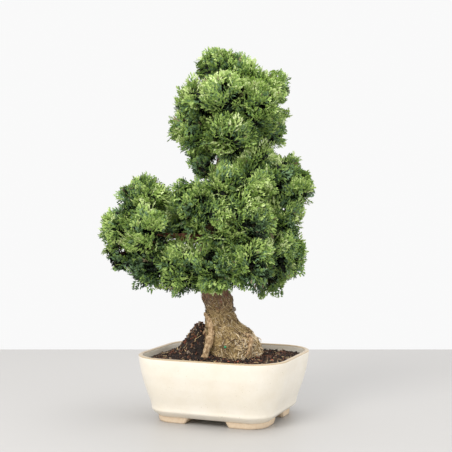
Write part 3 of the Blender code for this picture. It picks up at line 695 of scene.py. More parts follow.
# A spray's tone, painted shade deeper in the crown and painted light higher up: the one at the crown's skin,
# the depth that costs one tone of painted shade, and what is added as painted light at the top of its mass,
# by patches of the crown, by chance, and as painted light for each metre over a height
SKIN_LIGHT = 6.3
PAINTED_SHADE_DEPTH = 0.0040
LIGHT_UP = 0.7
LIGHT_PATCH = 1.9
PATCH_SCALE = 34.0
LIGHT_CHANCE = 0.8
LIGHT_RISE = 1.6
LIGHT_HEIGHT = 0.30
# Over this height half of the bluish sprays are greener
BLUE_TOP = 0.26
# Each finger's chances to be a tone darker, the same or a tone lighter, and to be dead
FINGER_SHIFTS = (0.2, 0.6, 0.2)
DEAD_SHARE = 0.012
TWIG_MATERIALS = (
    ("twig_bark", ((58, 40, 30), (112, 80, 58)), 0.003, (0.75, 0.9)),
    ("green_twig", ((62, 60, 32), (98, 96, 50)), 0.003, (0.7, 0.85)),
)

HEARTS = np.array([row[:3] for row in MASSES.values()])
RADII = np.array([row[3] for row in MASSES.values()])

pot_low, pot_high = (np.array(tuple(corner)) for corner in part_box("pot"))
POT_AT = np.array([(pot_low[0] + pot_high[0]) / 2, (pot_low[1] + pot_high[1]) / 2, 0.0])
TURN = np.array(
    [
        [math.cos(PLANTING_TURN), -math.sin(PLANTING_TURN), 0.0],
        [math.sin(PLANTING_TURN), math.cos(PLANTING_TURN), 0.0],
        [0.0, 0.0, 1.0],
    ]
)


def planted(points):
    """Points of the tree's axes, in the model's frame."""
    return np.asarray(points) @ TURN.T + POT_AT


def in_tree_axes(points):
    """Points of the model's frame, in the tree's axes."""
    return (np.asarray(points) - POT_AT) @ TURN


def linear(tone):
    """A tone as the light that it stands for."""
    shares = [value / 255 for value in tone]
    return (*(s / 12.92 if s <= 0.04045 else ((s + 0.055) / 1.055) ** 2.4 for s in shares), 1.0)


def chance(piece):
    """The draws of one piece, which are the same on every run."""
    return np.random.default_rng((SEED, DRAWS[piece]))


def unit(v):
    return v / np.linalg.norm(v)


def grain(points, size, seed):
    """Smooth noise from about -1 to 1 at each point, whose features have the size given."""
    scaled = np.asarray(points) / size + seed * 17.3
    return np.array([noise.noise(Vector(p)) for p in scaled])


def raised(points, relief, seed):
    """A relief at each point: smooth noise of a size and a height."""
    size, height = relief
    return grain(points, size, seed) * height


class Heap:
    """Triangles gathered for one piece, each with the number of its material."""

    def __init__(self):
        self.points = []
        self.faces = []
        self.tones = []
        self.count = 0

    def add(self, shape, tone=0):
        points, faces = shape
        faces = np.asarray(faces, np.int64)
        self.points.append(np.asarray(points, float))
        self.faces.append(faces + self.count)
        self.tones.append(np.broadcast_to(np.asarray(tone, np.int64), (len(faces),)))
        self.count += len(points)

    def make(self, name, materials, slot, nodes=(), smooth=True, turned=True):
        points = np.concatenate(self.points)
        if turned:
            points = planted(points)
        faces = np.concatenate(self.faces)
        mesh = bpy.data.meshes.new(name)
        mesh.vertices.add(len(points))
        mesh.vertices.foreach_set("co", points.astype(np.float32).ravel())
        mesh.loops.add(faces.size)
        mesh.loops.foreach_set("vertex_index", faces.astype(np.int32).ravel())
        mesh.polygons.add(len(faces))
        mesh.polygons.foreach_set("loop_start", np.arange(0, faces.size, 3, dtype=np.int32))
        mesh.polygons.foreach_set("material_index", np.concatenate(self.tones).astype(np.int32))
        mesh.polygons.foreach_set("use_smooth", np.full(len(faces), smooth))
        mesh.update(calc_edges=True)
        for material in materials:
            mesh.materials.append(material)
        obj = bpy.data.objects.new(name, mesh)
        bpy.context.scene.collection.objects.link(obj)
        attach(obj, "root")
        if nodes:
            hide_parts(*nodes)


@functools.lru_cache(maxsize=None)
def loft_faces(rings, count):
    """The triangles of closed rings joined in order, with a fan on the first and the last."""
    faces = []
    for i in range(rings - 1):
        for k in range(count):
            after = (k + 1) % count
            low, high = i * count, (i + 1) * count
            faces.append((low + k, low + after, high + after))
            faces.append((low + k, high + after, high + k))
    first, last = rings * count, rings * count + 1
    for k in range(count):
        after = (k + 1) % count
        faces.append((first, after, k))
        faces.append((last, (rings - 1) * count + k, (rings - 1) * count + after))
    return np.array(faces)


def loft(rings):
    """A closed skin over rings of equal count: its points and its triangles."""
    rings = np.asarray(rings, float)
    caps = [rings[0].mean(axis=0), rings[-1].mean(axis=0)]
    return np.vstack((rings.reshape(-1, 3), caps)), loft_faces(len(rings), rings.shape[1])


def frames_along(path):
    """The direction of a path at each point, and two directions across it that turn as little as they can."""
    along = np.gradient(path, axis=0)
    along /= np.linalg.norm(along, axis=1)[:, None]
    aside = np.cross(along[0], (0.0, 0.0, 1.0))
    if np.linalg.norm(aside) < 1e-6:
        aside = np.array((1.0, 0.0, 0.0))
    asides = []
    for direction in along:
        aside = unit(aside - direction * (aside @ direction))
        asides.append(aside)
    asides = np.array(asides)
    return along, asides, np.cross(along, asides)


def tube(path, radii, sides, flat=1.0, turn=0.0):
    """A tapering limb along a path. flat is its thickness over its width."""
    path = np.asarray(path, float)
    radii = np.broadcast_to(np.asarray(radii, float), (len(path),))
    _, asides, overs = frames_along(path)
    angles = 2 * math.pi * np.arange(sides) / sides
    across = math.cos(turn) * asides + math.sin(turn) * overs
    over = (math.cos(turn) * overs - math.sin(turn) * asides) * flat
    round_ = np.cos(angles)[None, :, None] * across[:, None] + np.sin(angles)[None, :, None] * over[:, None]
    return loft(path[:, None] + radii[:, None, None] * round_)


def bezier(points, count):
    """Evenly stepped points on the smooth curve that a few control points give."""
    row = np.asarray(points, float)[:, None, :]
    t = np.linspace(0, 1, count)[None, :, None]
    while len(row) > 1:
        row = row[:-1] * (1 - t) + row[1:] * t
    return row[0]


def smooth_through(places, values, at):
    """A smooth curve through the values: a cubic between each two, sloped by the values beside them."""
    places, values, at = (np.asarray(row, float) for row in (places, values, at))
    k = np.clip(np.searchsorted(places, at) - 1, 0, len(places) - 2)
    span = places[k + 1] - places[k]
    t = (at - places[k]) / span

    def slope(i):
        low, high = np.maximum(i - 1, 0), np.minimum(i + 1, len(places) - 1)
        return (values[high] - values[low]) / (places[high] - places[low]) * span

    return (
        (2 * t**3 - 3 * t**2 + 1) * values[k]
        + (t**3 - 2 * t**2 + t) * slope(k)
        + (3 * t**2 - 2 * t**3) * values[k + 1]
        + (t**3 - t**2) * slope(k + 1)
    )


def trunk_station(height):
    """The trunk's middle and radius at a height."""
    table = np.array(TRUNK)
    across, deep, radius = (float(smooth_through(table[:, 0], table[:, k], height)) for k in (1, 2, 3))
    return np.array((across, deep, height)), radius


class Limbs:
    """The trunk and the boughs, as rows of balls that the sprays keep clear of."""

    def __init__(self):
        self.middles = np.zeros((0, 3))
        self.radii = np.zeros(0)

    def add(self, path, radii, step=0.002):
        for k in range(len(path) - 1):
            count = max(2, int(np.linalg.norm(path[k + 1] - path[k]) / step))
            t = np.linspace(0, 1, count)[:, None]
            self.middles = np.vstack((self.middles, path[k] * (1 - t) + path[k + 1] * t))
            self.radii = np.append(self.radii, np.interp(t[:, 0], (0, 1), (radii[k], radii[k + 1])))

    def near(self, heart, reach):
        kept = Limbs()
        close = np.linalg.norm(self.middles - heart, axis=1) - self.radii < reach
        kept.middles = self.middles[close]
        kept.radii = self.radii[close]
        return kept

    def clearance(self, points):
        away = np.linalg.norm(np.asarray(points)[:, None, :] - self.middles[None], axis=2)
        return float((away - self.radii[None]).min(initial=1.0))


def crown_depth(points):
    """How deep each point lies under the crown's skin, the balls of all the masses blended together."""
    away = np.linalg.norm(np.asarray(points)[:, None, :] - HEARTS[None], axis=2) - RADII[None]
    return CREASE_FILLET * np.log(np.exp(-away / CREASE_FILLET).sum(axis=1))


class Space:
    """The room that one mass keeps to: the crown's skin, cut by a plane towards each neighbour."""

    def __init__(self, name):
        *heart, self.radius = MASSES[name]
        self.heart = np.array(heart)
        self.area = (self.radius / SPRAYS_FOR_RADIUS) ** 2
        others = np.array([row for other, row in MASSES.items() if other != name])
        lines = others[:, :3] - self.heart
        apart = np.linalg.norm(lines, axis=1)
        self.normals = lines / apart[:, None]
        self.offsets = apart * self.radius / (self.radius + others[:, 3])

    def holds(self, points, overrun):
        if float(crown_depth(points).min()) < -overrun:
            return False
        return bool((((points - self.heart) @ self.normals.T) <= self.offsets + PLANE_OVERRUN).all())

    def plane_reach(self, direction):
        """How far a line from the heart runs before it meets a plane."""
        towards = self.normals @ direction
        facing = towards > 1e-6
        return float((self.offsets[facing] / towards[facing]).min(initial=1.0))


# Materials


def principled(name, tone, roughness, **inputs):
    material = bpy.data.materials.new(name)
    material.use_nodes = True
    shader = material.node_tree.nodes["Principled BSDF"]
    shader.inputs["Base Color"].default_value = linear(tone)
    shader.inputs["Roughness"].default_value = roughness
    for key, value in inputs.items():
        shader.inputs[key.replace("_", " ")].default_value = value
    return material


class Nodes:
    """A short way to add nodes to one material and join them."""

    def __init__(self, material):
        self.tree = material.node_tree
        self.shader = self.tree.nodes["Principled BSDF"]
        self.place = self.add("ShaderNodeTexCoord").outputs["Object"]

    def add(self, kind, **settings):
        node = self.tree.nodes.new(kind)
        for key, value in settings.items():
            setattr(node, key, value)
        return node

    def link(self, source, target):
        self.tree.links.new(source, target)

    def stretched(self, scale):
        mapping = self.add("ShaderNodeMapping")
        mapping.inputs["Scale"].default_value = scale
        self.link(self.place, mapping.inputs["Vector"])
        return mapping.outputs["Vector"]

    def noise(self, scale, detail=4.0, roughness=0.6, vector=None):
        node = self.add("ShaderNodeTexNoise")
        node.inputs["Scale"].default_value = scale
        node.inputs["Detail"].default_value = detail
        node.inputs["Roughness"].default_value = roughness
        self.link(vector or self.place, node.inputs["Vector"])
        return node.outputs["Fac"]

    def ramp(self, factor, tones, places=TWO_PLACES):
        node = self.add("ShaderNodeValToRGB")
        row = node.color_ramp.elements
        while len(row) < len(tones):
            row.new(0.5)
        for element, place, tone in zip(row, places, tones):
            element.position = place
            element.color = linear(tone)
        self.link(factor, node.inputs["Fac"])
        return node.outputs["Color"]

    def mix(self, factor, one, two):
        """A colour between two, the second of which may be a plain tone."""
        node = self.add("ShaderNodeMix", data_type="RGBA")
        self.link(factor, node.inputs[0])
        self.link(one, node.inputs[6])
        if isinstance(two, tuple):
            node.inputs[7].default_value = linear(two)
        else:
            self.link(two, node.inputs[7])
        return node.outputs[2]

    def span(self, value, low, high):
        """A share that runs from 0 where the value is low to 1 where it is high."""
        node = self.add("ShaderNodeMapRange", interpolation_type="SMOOTHSTEP")
        node.inputs["From Min"].default_value = low
        node.inputs["From Max"].default_value = high
        self.link(value, node.inputs["Value"])
        return node.outputs["Result"]

    def uneven_height(self, scale, waver):
        """The height over the floor, with a noise of the scale and span given added to it."""
        place = self.add("ShaderNodeSeparateXYZ")
        self.link(self.place, place.inputs[0])
        share = self.add("ShaderNodeMath", operation="MULTIPLY")
        self.link(self.noise(scale), share.inputs[0])
        share.inputs[1].default_value = waver
        both = self.add("ShaderNodeMath", operation="ADD")
        self.link(place.outputs["Z"], both.inputs[0])
        self.link(share.outputs[0], both.inputs[1])
        return both.outputs[0]

    def colour(self, source):
        self.link(source, self.shader.inputs["Base Color"])

    def roughness(self, source, low, high):
        node = self.add("ShaderNodeMapRange")
        node.inputs["To Min"].default_value = low
        node.inputs["To Max"].default_value = high
        self.link(source, node.inputs["Value"])
        self.link(node.outputs["Result"], self.shader.inputs["Roughness"])

    def bump(self, source, depth):
        node = self.add("ShaderNodeBump")
        node.inputs["Strength"].default_value = 1.0
        node.inputs["Distance"].default_value = depth
        self.link(source, node.inputs["Height"])
        self.link(node.outputs["Normal"], self.shader.inputs["Normal"])


def mottled(name, tones, size, rough, depth=0.0, places=TWO_PLACES, stretch=(1.0, 1.0, 1.0)):
    """A material whose colour runs through a few tones by a noise, with the same noise as its relief."""
    material = principled(name, tones[0], rough[1])
    nodes = Nodes(material)
    pattern = nodes.noise(1.0 / size, detail=6.0, vector=nodes.stretched(stretch))
    nodes.colour(nodes.ramp(pattern, tones, places))
    nodes.roughness(pattern, *rough)
    if depth:
        nodes.bump(pattern, depth)
    return material


def glaze_material():
    """Cream glaze with faint clouds and specks, thin and brown along the lip."""
    material = principled("cream_glaze", GLAZE_TONE, 0.3, Coat_Weight=0.25, Coat_Roughness=0.12)
    nodes = Nodes(material)
    clouds = nodes.noise(GLAZE_SCALES["clouds"], detail=3.0)
    specks = nodes.span(nodes.noise(GLAZE_SCALES["specks"], detail=1.0), *SPECK_SPAN)
    body = nodes.mix(specks, nodes.ramp(clouds, GLAZE_TONES), SPECK_TONE)
    lip = nodes.span(nodes.uneven_height(GLAZE_SCALES["lip"], LIP_WAVER), *LIP_LINE)
    nodes.colour(nodes.mix(lip, body, LIP_TONE))
    nodes.roughness(clouds, *GLAZE_ROUGHNESS)
    nodes.bump(nodes.noise(GLAZE_SCALES["skin"], detail=2.0), GLAZE_RELIEF)
    return material


def bark_material():
    """Bark: mossy and rootbound low down, and flaky above, where the one gives way to the other unevenly."""
    material = principled("trunk_bark", BARK_TONES[0], 0.9)
    nodes = Nodes(material)
    flaky = nodes.stretched(BARK_STRETCH)
    flakes = nodes.noise(BARK_SCALES["flakes"], detail=6.0, roughness=0.65, vector=flaky)
    fibres = nodes.noise(BARK_SCALES["fibres"], detail=5.0, roughness=0.7)
    above = nodes.ramp(flakes, BARK_TONES, BARK_PLACES)
    below = nodes.ramp(fibres, MOSS_TONES, MOSS_PLACES)
    edge = nodes.uneven_height(BARK_SCALES["edge"], MOSS_WAVER)
    nodes.colour(nodes.mix(nodes.span(edge, *MOSS_EDGE), below, above))
    nodes.roughness(flakes, *BARK_ROUGHNESS)
    nodes.bump(fibres, BARK_RELIEF)
    return material


# The pot


def rounded_rectangle(length, width, corner, height):
    """The points of a rectangle with round corners, anticlockwise from above."""
    points = []
    turns = ((1, 1), (-1, 1), (-1, -1), (1, -1))
    for quarter, (along, over) in enumerate(turns):
        centre = np.array((along * (length / 2 - corner), over * (width / 2 - corner)))
        for step in range(CORNER_STEPS + 1):
            angle = math.pi / 2 * (quarter + step / CORNER_STEPS)
            points.append(centre + corner * np.array((math.cos(angle), math.sin(angle))))
        next_along, next_over = turns[(quarter + 1) % 4]
        after = np.array((next_along * (length / 2 - corner), next_over * (width / 2 - corner)))
        angle = math.pi / 2 * (quarter + 1)
        after = after + corner * np.array((math.cos(angle), math.sin(angle)))
        for step in range(1, SIDE_STEPS):
            points.append(points[-step] * (1 - step / SIDE_STEPS) + after * (step / SIDE_STEPS))
    return np.array([(x, y, height) for x, y in points])


def pot_ring(inset, height):
    return rounded_rectangle(POT_LENGTH - 2 * inset, POT_WIDTH - 2 * inset, POT_CORNER - inset, height)


def wall_inset(height):
    rows = np.array(POT_PROFILE[:-1])
    return float(np.interp(height, rows[:, 0], rows[:, 1]))


def make_pot():
    """The glazed pot: its wall from the underside up, its lip, and its inside down to the floor."""
    heap = Heap()
    rows = POT_PROFILE[:-1]
    outer = []
    for (low, low_inset), (high, high_inset) in itertools.pairwise(rows):
        steps = max(2, int((high - low) / WALL_STEP))
        for t in np.linspace(0, 1, steps, endpoint=False):
            outer.append((low + (high - low) * t, low_inset + (high_inset - low_inset) * t))
    heights, insets = np.array((*outer, rows[-1])).T
    for _ in range(WALL_SMOOTHINGS):
        smoother = insets.copy()
        smoother[1:-1] = (insets[:-2] + 2 * insets[1:-1] + insets[2:]) / 4
        insets = np.maximum(smoother, 0.0)
    rings = [pot_ring(inset, height) for height, inset in zip(heights, insets)]
    # The lip: round from the outer face over to the inner one
    lip_low, lip_high = POT_PROFILE[-2][0], POT_PROFILE[-1][0]
    for angle in np.linspace(0, math.pi, LIP_RINGS)[1:-1]:
        over = (1 - math.cos(angle)) / 2 * POT_WALL
        rings.append(pot_ring(over, lip_low + (lip_high - lip_low) * math.sin(angle)))
    for height in np.linspace(lip_low, POT_FLOOR, INNER_RINGS):
        rings.append(pot_ring(wall_inset(height) + POT_WALL, height))
    heap.add(loft([ring + POT_AT for ring in rings]))
    heap.make("pot_glazed", [glaze_material()], "glaze", ["pot"], turned=False)


def make_feet():
    """Four corner feet of bare clay, each round at its sole and its ends and sunk in the pot's underside."""
    heap = Heap()
    corner = POT_CORNER - POT_PROFILE[0][1]
    angles = math.pi / 2 * np.arange(CORNER_STEPS + 1) / CORNER_STEPS
    arc = corner * np.stack((1 - np.cos(angles), 1 - np.sin(angles)), axis=1)
    for along, over in itertools.product((-1, 1), repeat=2):
        rings = []
        for height, narrow, inset in FOOT_RINGS:
            x, y = (side / 2 - POT_PROFILE[0][1] - inset for side in (POT_LENGTH, POT_WIDTH))
            near_x, near_y = (side + inset - FOOT_SIZE + narrow for side in (x, y))
            sides = (
                np.linspace((near_x, near_y), (x, near_y), FOOT_STEPS)[:-1],
                np.linspace((x, near_y), (x, y - corner), FOOT_STEPS)[:-1],
                (x, y) - arc,
                np.linspace((x - corner, y), (near_x, y), FOOT_STEPS)[1:],
                np.linspace((near_x, y), (near_x, near_y), FOOT_STEPS)[1:-1],
            )
            ring = np.vstack(sides) * (along, over)
            rings.append(ring @ np.eye(2, 3) + POT_AT + (0, 0, height))
        if along * over < 0:
            rings = [ring[::-1] for ring in rings]
        heap.add(loft(rings))
    heap.make("pot_feet", [mottled(*BARE_CLAY)], "glaze", turned=False)


# Soil


def soil_height(points):
    """The soil's surface, in the tree's axes: level, raised round the trunk and heaped at its left."""
    points = np.asarray(points)
    heap = np.hypot(points[..., 0] - HEAP_AT[0], points[..., 1] - HEAP_AT[1]) / HEAP_SPREAD
    collar = np.hypot(points[..., 0] - TRUNK[0][1], points[..., 1] - TRUNK[0][2]) / COLLAR_SPREAD
    level = SOIL_LEVEL + LOOSE_SOIL
    return level + HEAP_HEIGHT * np.exp(-(heap**2)) + COLLAR_HEIGHT * np.exp(-(collar**4))


def make_soil():
    """The bed of soil, uneven all over and calmer along the pot's wall."""
    edge = pot_ring(wall_inset(SOIL_LEVEL) + POT_WALL + SOIL_EDGE_GAP, 0.0)
    rings = [edge * (1, 1, 0) * BED_NARROWING + (0, 0, SOIL_LEVEL - BED_DEPTH)]
    for ring in range(SOIL_RINGS):
        share = 1 - ring / SOIL_RINGS
        row = edge * share
        rough = grain(row + POT_AT, SOIL_CLODS, 3) * SOIL_ROUGHNESS * min(1.0, 3 * (1 - share) + 0.3)
        row[:, 2] = soil_height(in_tree_axes(row + POT_AT)) + rough
        rings.append(row)
    heap = Heap()
    heap.add(loft([ring + POT_AT for ring in rings]))
    heap.make("soil_bed", [mottled(*SOIL_BED)], "soil", ["soil"], turned=False)


def on_soil(rng, count, margin=0.0015):
    """Places all over the soil, in the model's axes but about the pot's middle."""
    inset = wall_inset(SOIL_LEVEL) + POT_WALL + margin
    half = np.array((POT_LENGTH / 2 - inset, POT_WIDTH / 2 - inset))
    corner = POT_CORNER - inset
    kept = []
    while len(kept) < count:
        spot = rng.uniform(-half, half)
        beyond = np.maximum(np.abs(spot) - (half - corner), 0.0)
        if np.hypot(*beyond) <= corner:
            kept.append(spot)
    return np.array(kept)


def stone(rng, size, squash=0.7):
    """A crumb: an eight-sided lump whose corners are moved at random."""
    corners = np.array(STONE_CORNERS, float)
    low, high = STONE_BREADTH
    corners *= rng.uniform(*STONE_REACH, (6, 1)) * rng.uniform((low, low, squash), (high, high, 1.0))
    corners += rng.normal(0, STONE_UNEVEN, (6, 3))
    turn, _ = np.linalg.qr(rng.normal(size=(3, 3)))
    turn *= np.linalg.det(turn)
    return corners @ turn.T * size, STONE_FACES


def laid_stone(rng, place, size, squash, rise):
    """A stone on the soil at a place of the tree's axes, its middle raised by a share of its size."""
    points, faces = stone(rng, size, squash)
    spot = planted(np.array([(*place, 0.0)]))[0]
    spot[2] = float(soil_height(np.array((*place, 0.0)))) + size * rise
    return points + spot, faces


def make_crumbs():
    """The loose crumbs and the grit that cover the bed."""
    rng = chance("crumbs")
    heap = Heap()
    base = on_soil(rng, CRUMBS) @ np.eye(2, 3) + POT_AT
    base[:, 2] = soil_height(in_tree_axes(base))
    for k, place in enumerate(base):
        size = rng.uniform(*(GRIT_SIZES if k < GRIT else CRUMB_SIZES))
        tone = rng.choice(len(CRUMB_SHARES), p=CRUMB_SHARES)
        points, faces = stone(rng, size)
        heap.add((points + place + (0, 0, size * CRUMB_RISE), faces), tone)
    materials = [mottled(*row) for row in CRUMB_MATERIALS]
    heap.make("soil_crumbs", materials, "soil", smooth=False, turned=False)


def make_litter():
    """Straws, flakes of bark and a few clay pebbles that lie on the soil."""
    rng = chance("litter")
    heap = Heap()
    for k, spot in enumerate(on_soil(rng, LITTER, LITTER_MARGIN) @ np.eye(2, 3)):
        straw = k % 2 == 0
        length = rng.uniform(*(STRAW_LENGTHS if straw else CHIP_LENGTHS))
        angle = rng.uniform(0, math.pi)
        way = np.array((math.cos(angle), math.sin(angle), 0.0)) * length
        bend = rng.normal(0, LITTER_BEND, 3)
        path = bezier([spot - way / 2, spot + bend, spot + way / 2], LITTER_STEPS) + POT_AT
        path[:, 2] = soil_height(in_tree_axes(path)) + LITTER_CLEAR + rng.uniform(0, LITTER_LOOSE)
        if straw:
            heap.add(tube(path, rng.uniform(*STRAW_RADII), 5), 0 if rng.random() < STRAW_SHARE else 1)
        else:
            taper = np.sin(np.linspace(0.25, 2.9, LITTER_STEPS)) * rng.uniform(*CHIP_WIDTHS)
            heap.add(tube(path, taper, 6, flat=0.3, turn=rng.uniform(-0.4, 0.4)), 1 + int(rng.random() < 0.5))
    for _ in range(HEAP_CHUNKS):
        place = np.array(HEAP_AT) + rng.normal(0, CHUNK_SPREAD, 2) * HEAP_SPREAD + CHUNKS_FROM_HEAP
        chunk = laid_stone(rng, place, rng.uniform(*CHUNK_SIZES), 0.5, 0.4)
        heap.add(chunk, rng.choice(len(CHUNK_SHARES), p=CHUNK_SHARES))
    for place, size in PEBBLES:
        heap.add(laid_stone(rng, place, size, 0.8, 0.5), PEBBLE_TONE)
    materials = [mottled(*row) for row in LITTER_MATERIALS]
    heap.make("soil_litter", materials, "soil", smooth=False, turned=False)


# Trunk and boughs


def trunk_skin(heights, angles):
    """Points on the trunk's bark at heights and angles of equal count."""
    table = np.array(TRUNK)
    inside = np.clip(heights, TRUNK[0][0], TRUNK[-1][0])
    across, deep, radius = (smooth_through(table[:, 0], table[:, k], inside) for k in (1, 2, 3))
    flare = np.maximum(0.0, (BUTTRESS_TOP - heights) / (BUTTRESS_TOP - TRUNK[0][0]))
    lobe = 1 + BUTTRESS_DEPTH * flare * np.cos(BUTTRESSES * angles + BUTTRESS_PHASE)
    reach = radius * lobe
    ways = np.stack((np.cos(angles), np.sin(angles), np.zeros_like(angles)), axis=-1)
    middles = np.stack((across, deep, heights), axis=-1)
    plain = middles + ways * reach[..., None]
    slim = np.clip(radius / RELIEF_RADIUS, 0.15, 1.0)
    lumps = raised(plain, LUMPS, 1) * slim * (0.35 + 0.65 * np.clip(flare * 3, 0, 1))
    ridges = 1 - 2 * np.abs(grain(plain * RIDGE_STRETCH, RIDGES[0], 2))
    plates = np.round(PLATE_STEPS * grain(plain * PLATE_STRETCH, PLATES[0], 4)) / PLATE_STEPS
    fine = grain(plain, FINE_BARK[0], 5)
    rooty = np.clip((MOSS_TOP - heights) / MOSS_FADE, 0.0, 1.0)
    knots = raised(plain, KNOTS, 6) + np.abs(raised(plain, BUDS, 8))
    barky = RIDGES[1] * ridges + PLATES[1] * plates + FINE_BARK[1] * fine
    mossy = knots + FINE_MOSS_HEIGHT * fine
    relief = lumps + slim * ((1 - rooty) * barky + rooty * mossy) - RELIEF_SUNK * slim
    return plain + ways * relief[..., None], ways


def make_trunk():
    """The trunk with its bark, as one skin over rings that lie closer towards its foot."""
    share = np.linspace(0, 1, BARK_RINGS) ** BARK_CROWDING
    heights = BARK_BOTTOM + (TRUNK[-1][0] - BARK_BOTTOM) * share
    angles = 2 * math.pi * np.arange(BARK_SIDES) / BARK_SIDES
    grid = np.meshgrid(heights, angles, indexing="ij")
    points, _ = trunk_skin(grid[0].ravel(), grid[1].ravel())
    heap = Heap()
    heap.add(loft(points.reshape(BARK_RINGS, BARK_SIDES, 3)))
    heap.make("trunk_bark", [bark_material()], "bark", ["trunk"])


def make_roots():
    """The bare roots, pale and smooth, a little uneven along their length, and the strands beside them."""
    rng = chance("roots")
    heap = Heap()
    coarse = np.arange(ROOT_RINGS)
    fine = np.linspace(0, ROOT_RINGS - 1, ROOT_FINE_RINGS)
    for route, radii in ROOTS:
        path = bezier(route, ROOT_RINGS)
        path = path + grain(path, ROOT_WANDER[0], rng.integers(90))[:, None] * ROOT_WANDER[1]
        swell = np.interp(np.linspace(0, 1, ROOT_RINGS), *ROOT_SWELL)
        uneven = 1 + raised(path, ROOT_UNEVEN, rng.integers(90))
        thick = np.linspace(*radii, ROOT_RINGS) * swell * uneven
        *path, thick = (smooth_through(coarse, row, fine) for row in (*path.T, thick))
        points, faces = tube(np.stack(path, axis=1), thick, ROOT_SIDES)
        lumps, pores = raised(points, ROOT_LUMPS, 7), raised(points, ROOT_PORES, 9)
        heap.add((points + lumps[:, None] + pores[:, None], faces))
    for route, radii in STRANDS:
        path = bezier(route, STRAND_RINGS)
        path = path + grain(path, STRAND_WANDER[0], rng.integers(90))[:, None] * STRAND_WANDER[1]
        heap.add(tube(path, np.linspace(*radii, STRAND_RINGS), STRAND_SIDES))
    heap.make("bare_roots", [mottled(*PALE_ROOT)], "bark")


def make_flakes():
    """Thin strips of bark that lift off the trunk above its mossy foot."""
    rng = chance("flakes")
    heap = Heap()
    steps = np.linspace(0, 1, FLAKE_STEPS)
    for _ in range(FLAKES):
        height = FLAKE_LOWEST + FLAKE_SPAN * rng.random() ** FLAKE_CROWDING
        angle = rng.uniform(0, 2 * math.pi)
        length = rng.uniform(*FLAKE_LENGTHS)
        skin, ways = trunk_skin(height + steps * length, angle + rng.normal(0, FLAKE_SKEW) * steps)
        # A flake lifts at both ends or at its upper one
        lift = rng.uniform(*FLAKE_LIFTS) * (2 * steps - 1) ** 2
        lift = FLAKE_CLEAR + lift * (steps > 0.5 if rng.random() < 0.5 else 1)
        width = np.sin(np.linspace(0.35, 2.8, FLAKE_STEPS)) * rng.uniform(*FLAKE_WIDTHS)
        path = skin + ways * lift[:, None]
        side = np.stack((-ways[:, 1], ways[:, 0], ways[:, 2]), axis=-1) * width[:, None]
        thick = ways * FLAKE_THICKNESS
        ring = np.stack((path - thick, path - side, path + thick, path + side), axis=1)
        heap.add(loft(ring), rng.integers(len(FLAKE_MATERIALS)))
    heap.make("bark_flakes", [mottled(*row) for row in FLAKE_MATERIALS], "bark", smooth=False)


def make_rootlets():
    """The mat of fine pale rootlets on the trunk's foot, and a few hairs that stand off it."""
    rng = chance("rootlets")
    heap = Heap()
    steps = np.linspace(0, 1, ROOTLET_STEPS)
    for k in range(ROOTLETS):
        height = ROOTLET_START + ROOTLET_SPAN * rng.random() ** ROOTLET_CROWDING
        angle = rng.uniform(0, 2 * math.pi)
        at_knee = k % KNEE_EVERY == 0
        if at_knee:
            height = rng.uniform(*KNEE_HEIGHTS)
            angle = KNEE_ANGLE + rng.normal(0, KNEE_SPREAD)
        hair = k % HAIR_EVERY == 0
        looped = at_knee and k % LOOP_EVERY == 0
        bulges, radii, shares = KNEE_ROOTLETS if at_knee else OTHER_ROOTLETS
        if hair:
            bulges, radii = HAIR_BULGES, HAIR_RADII
        length = rng.uniform(*ROOTLET_LENGTHS)
        slant = rng.normal(0, ROOTLET_SLANT)
        curl = rng.uniform(*ROOTLET_CURLS) * np.sin(steps * rng.uniform(*ROOTLET_WAVES) + rng.uniform(0, 6))
        if looped:
            length = rng.uniform(*LOOP_LENGTHS)
            curl = rng.uniform(*LOOP_CURLS) * np.sin(steps * rng.uniform(*LOOP_WAVES) + rng.uniform(0, 6))
        reach = trunk_station(max(height, TRUNK[0][0]))[1]
        heights = height - steps * length * math.cos(slant) + curl * math.sin(slant)
        angles = angle + (math.sin(slant) * length * steps + curl * math.cos(slant)) / reach
        skin, ways = trunk_skin(np.maximum(heights, ROOTLET_LOWEST), angles)
        bulge = rng.uniform(*bulges)
        lift = 0.0001 + bulge * np.sin(math.pi * steps * rng.uniform(0.6, 1.0))
        thick = rng.uniform(*radii)
        thick = rng.uniform(*LOOP_RADII) if looped else thick
        tone = rng.choice(len(shares), p=shares)
        taper = np.linspace(thick, thick * ROOTLET_TAPER, ROOTLET_STEPS)
        heap.add(tube(skin + ways * lift[:, None], taper, 4), tone)
    heap.make("rootlets", [mottled(*row) for row in ROOTLET_MATERIALS], "bark")


def make_stub():
    """The grey stub of a bough that was cut off."""
    heap = Heap()
    skin, ways = trunk_skin(*np.array(STUB)[:, None])
    way = unit(ways[0] + np.array((0.0, 0.0, STUB_RISE)))
    heap.add(tube(skin[0] + way * np.array(STUB_REACH)[:, None], STUB_RADII, 12))
    heap.make("cut_stub", [mottled(*GREY_STUB)], "bark")


def make_bead():
    """The small green bead, a pellet of feed, that is caught among the roots at the trunk's foot."""
    skin, ways = trunk_skin(*np.array(BEAD)[:, None])
    middle = skin[0] + ways[0] * BEAD_PROUD
    rises = np.linspace(-math.pi / 2, math.pi / 2, BEAD_RINGS)[1:-1]
    angles = 2 * math.pi * np.arange(BEAD_SIDES) / BEAD_SIDES
    round_ = np.stack((np.cos(angles), np.sin(angles), np.zeros(BEAD_SIDES)), axis=1)
    rings = [middle + BEAD_RADIUS * (round_ * math.cos(rise) + (0, 0, math.sin(rise))) for rise in rises]
    points, faces = loft(rings)
    points = points + (points - middle) * raised(points, BEAD_UNEVEN, 11)[:, None]
    heap = Heap()
    heap.add((points, faces))
    heap.make("feed_bead", [mottled(*GREEN_BEAD)], "soil")


